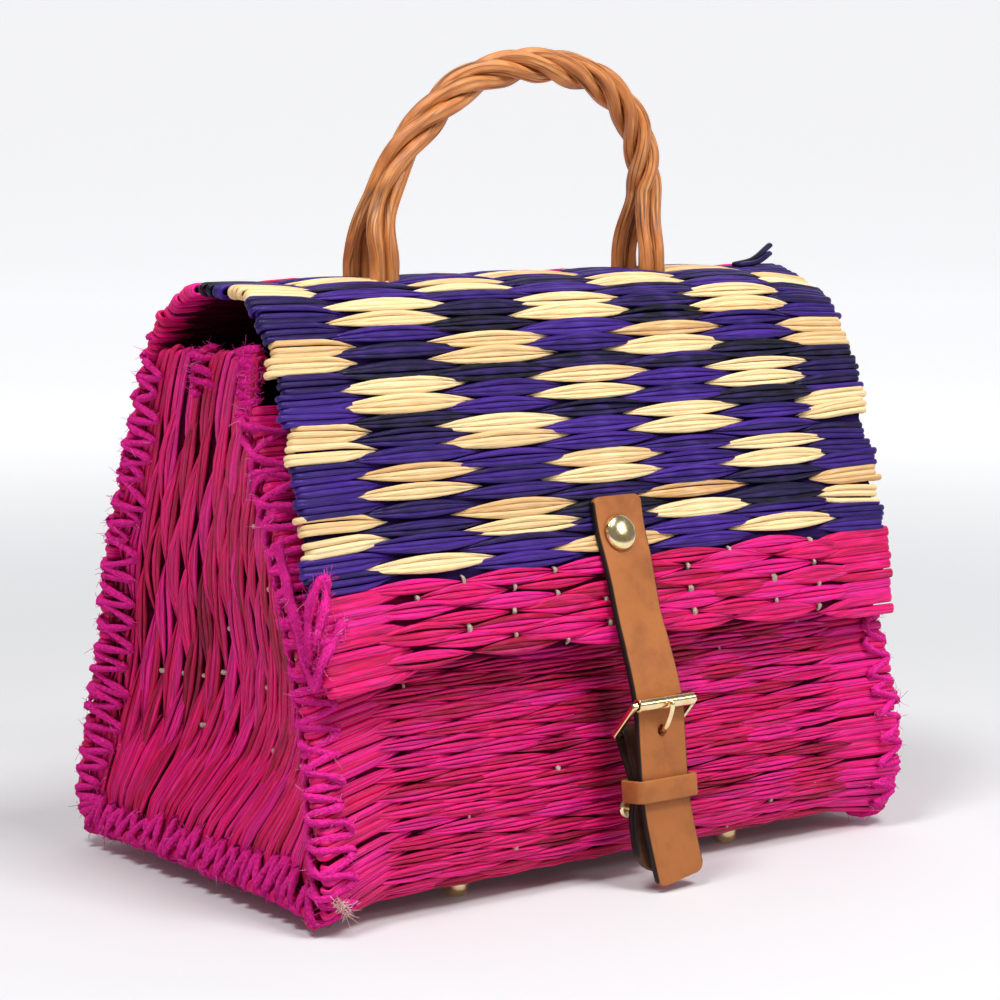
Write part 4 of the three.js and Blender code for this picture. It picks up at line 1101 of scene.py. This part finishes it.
def cutter_from(bm):
    cutter = bpy.data.objects.new("cutter", mesh_from("cutter", bm))
    bpy.context.collection.objects.link(cutter)
    return cutter


def punch(radius, length, place):
    """A round cutter along Y."""
    bm = bmesh.new()
    bmesh.ops.create_cone(
        bm, cap_ends=True, segments=40, radius1=radius, radius2=radius, depth=length,
        matrix=Matrix.Translation(place) @ Matrix.Rotation(math.pi / 2, 4, "X"),
    )
    return cutter_from(bm)


def leather_material(name, tan, marks):
    """Vegetable tanned leather: fine grain, soft marks, dark dyed edges where |across| is greatest."""
    material, tree = new_material(name)
    strip = add_node(tree, "ShaderNodeAttribute", attribute_name="strip").outputs["Vector"]
    place = add_node(tree, "ShaderNodeTexCoord").outputs["Object"]
    across = add_output(tree, "ShaderNodeSeparateXYZ", {0: strip})
    distance = add_output(tree, "ShaderNodeMath", {0: across}, operation="ABSOLUTE")
    edge = rescaled(tree, distance, (STRAP_WIDTH / 2 - MM, STRAP_WIDTH / 2 - 0.5 * MM), (0, 1))
    clouds = noise(tree, place, 60, 5, 0.65)
    skin = colour_ramp(tree, clouds, [(0.25, marks), (0.5, tan), (0.8, tuple(1.12 * c for c in tan))])
    worn = rescaled(tree, noise(tree, stretched(tree, place, (900, 900, 70)), 1, 2), (0.62, 0.75), (0, 0.3))
    scuffed = add_output(tree, "ShaderNodeMixRGB", {"Fac": worn, "Color1": skin, "Color2": (*marks, 1)})
    dyed = add_output(tree, "ShaderNodeMixRGB", {
        "Fac": edge, "Color1": scuffed, "Color2": (0.010, 0.005, 0.004, 1),
    })
    pores = add_output(tree, "ShaderNodeTexVoronoi", {"Vector": place, "Scale": 1400})
    fine = add_output(tree, "ShaderNodeBump", {"Height": pores, "Strength": 0.25, "Distance": 0.12 * MM})
    rough = rescaled(tree, clouds, (0, 1), (0.42, 0.68))
    set_finish(tree, dyed, rough, clouds, 0.35, 0.6 * MM, 0.3, fine)
    return material


tan_leather = leather_material("tan_leather", (0.41, 0.137, 0.036), (0.27, 0.083, 0.022))
# The tab's leather is the tan leather made much darker: painted shade, for the tab lying in the strap's
# shadow.
painted_shade_leather = leather_material("tab_painted_shade_leather", (0.075, 0.028, 0.014), (0.035, 0.014, 0.008))

strap_centres = []
for up, off, _ in STRAP_ROWS:
    height = hem_edge[1] + up * (strap_top - hem_edge[1])
    run = run_at_height(height, "flap bend", "hem bottom")
    strap_centres.append(mat_sheet(run, 0, off * STRAP_WIDTH + STRAP_THICKNESS / 2))
for level in (ROLLER_LEVEL, KEEPER_LEVEL + 2 * KEEPER_HEIGHT, KEEPER_LEVEL, RIVET_LEVEL, TAIL_LEVEL):
    strap_centres.append(strap_tail(level))
strap_twists = [row[2] for row in STRAP_ROWS] + [0] * 5
strap, strap_lines = leather_strip(
    "strap_leather", strap_centres, strap_twists, STRAP_THICKNESS, STRAP_CORNER, 150
)
prong_level = heel[2] - FOOT_HEIGHT + 2 * PRONG_RADIUS
for level in (prong_level, prong_level - STRAP_HOLE_SPACING):
    cut_away(strap, punch(STRAP_HOLE_RADIUS, 4 * STRAP_THICKNESS, strap_tail(level)))
mark_strip(strap, strap_lines)
dress(strap, tan_leather, "leather", "strap")


def tab_centre(level, gap):
    tail = strap_tail(level)
    return np.array([0, tail[1] + STRAP_THICKNESS / 2 + gap + TAB_PLY, tail[2]])


tab_middles = [
    tab_centre(TAB_BOTTOM, 3 * CLEARANCE),
    tab_centre(RIVET_LEVEL, MM + 6 * CLEARANCE),
    tab_centre(KEEPER_LEVEL, 2 * CLEARANCE),
]
ply = np.array([0, TAB_PLY / 2, 0])
fold_radius = heel_bore + TAB_PLY / 2
fold = [
    heel + fold_radius * np.array([0, math.cos(a), math.sin(a)]) for a in np.radians([-20, 25, 90, 155, 200])
]
tab_route = [middle + ply for middle in tab_middles] + fold + [middle - ply for middle in tab_middles[::-1]]
tab, tab_lines = leather_strip("tab_leather", tab_route, [0] * len(tab_route), TAB_PLY, TAB_CORNER, 90)
slot_bm = bmesh.new()
bmesh.ops.create_cube(slot_bm, size=1)
slot_height = 4 * (heel_bore + TAB_PLY)
bmesh.ops.scale(slot_bm, vec=(TAB_SLOT, slot_height, slot_height), verts=slot_bm.verts[:])
bmesh.ops.translate(slot_bm, vec=heel + np.array([0, 0, slot_height / 4]), verts=slot_bm.verts[:])
cut_away(tab, cutter_from(slot_bm))
mark_strip(tab, tab_lines)
dress(tab, painted_shade_leather, "leather", "buckle_tab")


def loop_piece(name, flat, tilt, place, profile):
    """A closed bar along a flat loop, tilted about X; profile rows reach outwards and across the loop."""
    turn = np.array(Matrix.Rotation(tilt, 3, "X"))
    path = np.column_stack([flat, 0 * flat[:, 0]]) @ turn.T + place
    axis = turn @ np.array([0, 0, 1.0])
    way = unit(np.roll(path, -1, 0) - np.roll(path, 1, 0))
    outward = unit(np.cross(way, axis))
    rings = path[:, None] + outward[:, None] * profile[None, :, :1] + axis * profile[None, :, 1:]
    count, corners, _ = rings.shape
    index = np.arange(count * corners).reshape(count, corners)
    there = np.roll(index, -1, 0)
    faces = np.stack([index, np.roll(index, -1, 1), np.roll(there, -1, 1), there], -1).reshape(-1, 4)
    mesh = bpy.data.meshes.new(name)
    mesh.from_pydata(rings.reshape(-1, 3).tolist(), [], faces.tolist())
    face_outwards(mesh)
    return make_piece(name, mesh, 50)


def rounded_path(half_wide, low, high, radius, steps=10):
    """A rounded rectangle as x and y, anticlockwise."""
    corners = [(half_wide, low, -90), (half_wide, high, 0), (-half_wide, high, 90), (-half_wide, low, 180)]
    points = []
    for x, y, start in corners:
        centre = (x - math.copysign(radius, x), y + radius if y == low else y - radius)
        for turn in np.radians(np.linspace(start, start + 90, steps)):
            points.append((centre[0] + radius * math.cos(turn), centre[1] + radius * math.sin(turn)))
    return np.array(points)


def rounded_bar(half_a, half_b, radius):
    """The section of a bar with rounded edges."""
    return rounded_path(half_a, -half_b, half_b, radius, 5)


lean = math.atan2(TAIL_LEAN, ROLLER_LEVEL - TAIL_LEVEL)
keeper_front = strap_tail(KEEPER_LEVEL)[1] - STRAP_THICKNESS / 2
keeper_back = tab_middles[2][1] + TAB_PLY
half_deep = (keeper_back - keeper_front) / 2 + KEEPER_EASE + KEEPER_THICKNESS / 2
half_wide = STRAP_WIDTH / 2 + KEEPER_EASE + KEEPER_THICKNESS / 2
flat_loop = rounded_path(half_wide, -half_deep, half_deep, 1.1 * KEEPER_THICKNESS)
keeper_middle = np.array([0, (keeper_front + keeper_back) / 2, FOOT_HEIGHT + KEEPER_LEVEL])
keeper_bar = rounded_bar(KEEPER_THICKNESS / 2, KEEPER_HEIGHT / 2, 0.6 * MM)
keeper = loop_piece("keeper_leather", flat_loop, -lean, keeper_middle, keeper_bar)
dress(keeper, tan_leather, "leather", "keeper")

# Brass fittings. The roller buckle, the snap that fixes the strap to the flap, the tab's rivet and the
# four feet are polished, gold coloured brass, turned or bent and fixed with their own posts.

SNAP_RADIUS = 7.5 * MM
SNAP_DOME = 3 * MM
SNAP_OFFSET = -2 * MM
RIVET_RADIUS = 4.5 * MM
POST_RADIUS = 1.75 * MM
WASHER_RADIUS = 6 * MM
WASHER_THICKNESS = MM
FOOT_RADIUS = 5.25 * MM


def brass_material():
    material, tree = new_material("polished_brass")
    tree.nodes["Principled BSDF"].inputs["Metallic"].default_value = 1
    place = add_node(tree, "ShaderNodeTexCoord").outputs["Object"]
    clouds = noise(tree, place, 220, 4)
    gold = colour_ramp(tree, clouds, [(0.3, (0.80, 0.60, 0.29)), (0.65, (0.94, 0.79, 0.47))])
    lines = noise(tree, stretched(tree, place, (300, 4000, 4000)), 1, 2)
    set_finish(tree, gold, rescaled(tree, clouds, (0, 1), (0.1, 0.28)), lines, 0.12, 0.05 * MM)
    return material


brass = brass_material()


def spun_piece(name, profile, place, axis, steps=64):
    """A turned piece; profile rows are a radius and a distance along the axis."""
    bm = bmesh.new()
    line = [bm.verts.new((radius, 0, along)) for radius, along in profile]
    edges = [bm.edges.new(pair) for pair in zip(line, line[1:])]
    if profile[0][0] > 0 and profile[-1][0] > 0:
        edges.append(bm.edges.new((line[-1], line[0])))
    bmesh.ops.spin(
        bm, geom=line + edges, cent=(0, 0, 0), axis=(0, 0, 1), angle=2 * math.pi, steps=steps, use_merge=True
    )
    bmesh.ops.remove_doubles(bm, verts=bm.verts[:], dist=1e-6)
    bmesh.ops.recalc_face_normals(bm, faces=bm.faces[:])
    turn = Vector((0, 0, 1)).rotation_difference(Vector(axis)).to_matrix()
    bmesh.ops.rotate(bm, verts=bm.verts[:], cent=(0, 0, 0), matrix=turn)
    bmesh.ops.translate(bm, verts=bm.verts[:], vec=Vector(place))
    return make_piece(name, mesh_from(name, bm), 42)


def arc_rows(radius, height, base, steps):
    """A dome's profile, from its rim up to its middle."""
    return [(radius * math.cos(a), base + height * math.sin(a)) for a in np.linspace(0, math.pi / 2, steps)]


def washer_rows(level):
    """The profile of the washer inside the mat, from its middle to the post."""
    under = level - WASHER_THICKNESS
    return [(0, under), (WASHER_RADIUS, under), (WASHER_RADIUS, level), (POST_RADIUS, level)]


def outward_at(run):
    way_y, way_z = (np.interp(run, mat_run, mat_way[:, i]) for i in (0, 1))
    return np.array([0, way_z, -way_y])


snap_run = run_at_height(hem_edge[1] + SNAP_ABOVE_HEM, "flap bend", "hem top")
seat = 4 * CLEARANCE + STRAP_THICKNESS
snap = spun_piece("snap_brass", [
    *washer_rows(-MAT_WALL - CLEARANCE),
    (POST_RADIUS, seat),
    (SNAP_RADIUS * 0.95, seat),
    (SNAP_RADIUS, seat + 0.25 * MM),
    (SNAP_RADIUS * 0.985, seat + 0.7 * MM),
    *arc_rows(SNAP_RADIUS * 0.95, SNAP_DOME - 1.1 * MM, seat + 1.1 * MM, 14),
], mat_sheet(snap_run, SNAP_OFFSET, 0), outward_at(snap_run))
dress(snap, brass, "brass", "snap_cap")

rivet_run = run_at_height(FOOT_HEIGHT + RIVET_LEVEL, "front top", "base")
rivet_place = mat_sheet(rivet_run, 0, 0)
rivet_head = rivet_place[1] - tab_middles[1][1] + TAB_PLY + 3 * CLEARANCE
rivet = spun_piece("rivet_brass", [
    *washer_rows(-MAT_WALL - 3 * CLEARANCE),
    (POST_RADIUS, CLEARANCE),
    (RIVET_RADIUS, CLEARANCE),
    (0.8 * RIVET_RADIUS, CLEARANCE + MM),
    (POST_RADIUS, CLEARANCE + MM),
    (POST_RADIUS, rivet_head),
    *arc_rows(0.8 * RIVET_RADIUS, MM, rivet_head, 8),
], rivet_place, (0, -1, 0))
dress(rivet, brass, "brass", "tab_rivet")

shoulder = FOOT_HEIGHT - CLEARANCE
inside = FOOT_HEIGHT + MAT_WALL + CLEARANCE
for side_y in ("front", "back"):
    for side_x in ("left", "right"):
        node = f"foot_{side_y}_{side_x}"
        low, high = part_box(node)
        middle = (low + high) / 2
        foot = spun_piece(f"brass_{node}", [
            (0, 0),
            (FOOT_RADIUS * 0.55, 0),
            (FOOT_RADIUS * 0.72, 0.25 * MM),
            (FOOT_RADIUS * 0.88, 1.1 * MM),
            (FOOT_RADIUS * 0.97, 2.4 * MM),
            (FOOT_RADIUS, 4 * MM),
            (FOOT_RADIUS, shoulder - 0.3 * MM),
            (FOOT_RADIUS - 0.3 * MM, shoulder),
            (POST_RADIUS, shoulder),
            (POST_RADIUS, inside),
            (WASHER_RADIUS, inside),
            (WASHER_RADIUS, inside + WASHER_THICKNESS),
            (0, inside + WASHER_THICKNESS),
        ], (middle.x, middle.y, 0), (0, 0, 1))
        dress(foot, brass, "brass", node)

roller_piece = spun_piece("roller_brass", [
    (ROLLER_BORE, 0),
    (ROLLER_RADIUS - 0.25 * MM, 0),
    (ROLLER_RADIUS, 0.25 * MM),
    (ROLLER_RADIUS, ROLLER_LENGTH - 0.25 * MM),
    (ROLLER_RADIUS - 0.25 * MM, ROLLER_LENGTH),
    (ROLLER_BORE, ROLLER_LENGTH),
], roller - np.array([ROLLER_LENGTH / 2, 0, 0]), (1, 0, 0), 48)
dress(roller_piece, brass, "brass", "buckle_roller")

frame_inside = ROLLER_LENGTH / 2 + CLEARANCE
flat_frame = rounded_path(frame_inside + FRAME_BAR / 2, -FRAME_REACH, 0, FRAME_BAR * 0.7)
frame_bar = rounded_bar(0.55 * FRAME_BAR, 0.6 * FRAME_BAR, 0.75 * MM)
buckle_frame = loop_piece("frame_brass", flat_frame, math.pi / 2 + FRAME_TILT, roller, frame_bar)
dress(buckle_frame, brass, "brass", "buckle_frame")

hole = strap_tail(prong_level)
lying = roller[1] - ROLLER_RADIUS - CLEARANCE - 1.1 * PRONG_RADIUS
prong_route = curve_through([
    (0, heel[1] - heel_bore - 0.3 * PRONG_RADIUS, heel[2] + 0.3 * PRONG_RADIUS),
    (0, hole[1] + STRAP_THICKNESS, hole[2] - 0.45 * PRONG_RADIUS),
    (0, hole[1], hole[2]),
    (0, hole[1] - STRAP_THICKNESS, hole[2] + 0.8 * PRONG_RADIUS),
    (0, lying, roller[2] - 0.7 * ROLLER_RADIUS),
    (0, lying, roller[2] + 0.5 * ROLLER_RADIUS),
], 8)[None]
prong_places = np.linspace(0, 1, prong_route.shape[1])[None]
prong_thick = PRONG_RADIUS * (1 - 0.35 * smooth_step((prong_places - 0.9) / 0.1))
sideways = np.array([1.0, 0, 0]) + 0 * prong_route
turns = np.linspace(0, 2 * math.pi, 40)
ring_radius = heel_bore + 0.95 * PRONG_RADIUS
eye_route = (heel + ring_radius * np.stack([0 * turns, np.cos(turns), np.sin(turns)], -1))[None]
eye_thick = np.full((1, 40), 0.9 * PRONG_RADIUS)
prong = tube_mesh("prong_brass", [
    (tube_rings(prong_route, sideways, prong_thick, prong_thick, 14), [0.5]),
    (tube_rings(eye_route, np.array([1.0, 0, 0]) + 0 * eye_route, eye_thick, eye_thick, 12), [0.5]),
])
dress(prong, brass, "brass", "buckle_prong")

# Camera, floor and light. The bag stands on a pale sweep under soft studio light, seen from the
# front left at the photograph's angle.

CAMERA_PLACE = Vector((-0.7286, -0.9536, 0.3018))
CAMERA_YAW = math.radians(37.18)
CAMERA_PITCH = math.radians(7.30)
FOCAL_PIXELS = 2841.8
IMAGE_PIXELS = 1000
SENSOR_WIDTH = 36
GLOW_NEAR = 0.02
GLOW_FAR = 0.61
WORLD_LIGHT = 0.2
BACKDROP_GLOW = 0.88

camera_data = bpy.data.cameras.new("camera")
camera_data.sensor_width = SENSOR_WIDTH
camera_data.lens = FOCAL_PIXELS / IMAGE_PIXELS * SENSOR_WIDTH
camera_data.clip_start = 0.01
camera = bpy.data.objects.new("camera", camera_data)
camera.location = CAMERA_PLACE
camera.rotation_euler = (math.pi / 2 - CAMERA_PITCH, 0, -CAMERA_YAW)
bpy.context.collection.objects.link(camera)
bpy.context.scene.camera = camera


def floor_material():
    """White paper that glows a little away from the bag, as a backdrop with its own lamps does."""
    material, tree = new_material("pale_floor")
    shader = tree.nodes["Principled BSDF"]
    shader.inputs["Base Color"].default_value = (0.70, 0.705, 0.72, 1)
    shader.inputs["Roughness"].default_value = 0.8
    shader.inputs["Specular IOR Level"].default_value = 0.1
    shader.inputs["Emission Color"].default_value = (0.98, 0.98, 1, 1)
    place = add_node(tree, "ShaderNodeTexCoord").outputs["Object"]
    distance = add_node(tree, "ShaderNodeVectorMath", {0: place}, operation="LENGTH").outputs["Value"]
    glow = add_node(tree, "ShaderNodeMapRange", {
        "Value": distance, "From Min": 0.3, "From Max": 1.9, "To Min": GLOW_NEAR, "To Max": GLOW_FAR,
    }, interpolation_type="SMOOTHSTEP")
    tree.links.new(glow.outputs[0], shader.inputs["Emission Strength"])
    return material


def studio_sweep():
    """A floor that curves up into a backdrop, far wider than the view."""
    bm = bmesh.new()
    profile = [(-6, 0), (4, 0)] + [
        (4 + 2 * math.sin(turn), 2 - 2 * math.cos(turn)) for turn in np.linspace(0.1, math.pi / 2, 12)
    ] + [(6, 9)]
    line = [bm.verts.new((-9, y, z)) for y, z in profile]
    edges = [bm.edges.new(pair) for pair in zip(line, line[1:])]
    swept = bmesh.ops.extrude_edge_only(bm, edges=edges)["geom"]
    bmesh.ops.translate(bm, verts=[v for v in swept if isinstance(v, bmesh.types.BMVert)], vec=(18, 0, 0))
    bmesh.ops.recalc_face_normals(bm, faces=bm.faces[:])
    sweep = make_piece("studio_sweep", mesh_from("studio_sweep", bm))
    sweep.data.materials.append(floor_material())
    sweep.rotation_euler.z = -CAMERA_YAW
    sweep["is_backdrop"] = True


studio_sweep()
world = bpy.data.worlds.new("studio")
world.use_nodes = True
sky = world.node_tree.nodes["Background"]
sky.inputs["Color"].default_value = (1, 1, 1, 1)
seen = add_node(world.node_tree, "ShaderNodeLightPath").outputs["Is Camera Ray"]
shown = rescaled(world.node_tree, seen, (0, 1), (WORLD_LIGHT, BACKDROP_GLOW))
world.node_tree.links.new(shown, sky.inputs["Strength"])
bpy.context.scene.world = world
bpy.context.scene.view_settings.view_transform = "Standard"


def soft_light(name, place, power):
    lamp = bpy.data.lights.new(name, "AREA")
    lamp.shape = "RECTANGLE"
    lamp.size = lamp.size_y = 0.5
    lamp.energy = power
    holder = bpy.data.objects.new(name, lamp)
    holder.location = place
    holder.rotation_euler = (Vector((0, 0, 0.15)) - Vector(place)).to_track_quat("-Z", "Y").to_euler()
    bpy.context.collection.objects.link(holder)


soft_light("top_light", (0.1, -1.0, 1.6), 22)
soft_light("front_light", (1.2, -1.6, 1.1), 6)
soft_light("left_light", (-0.85, -0.3, 1.75), 19)

low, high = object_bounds()
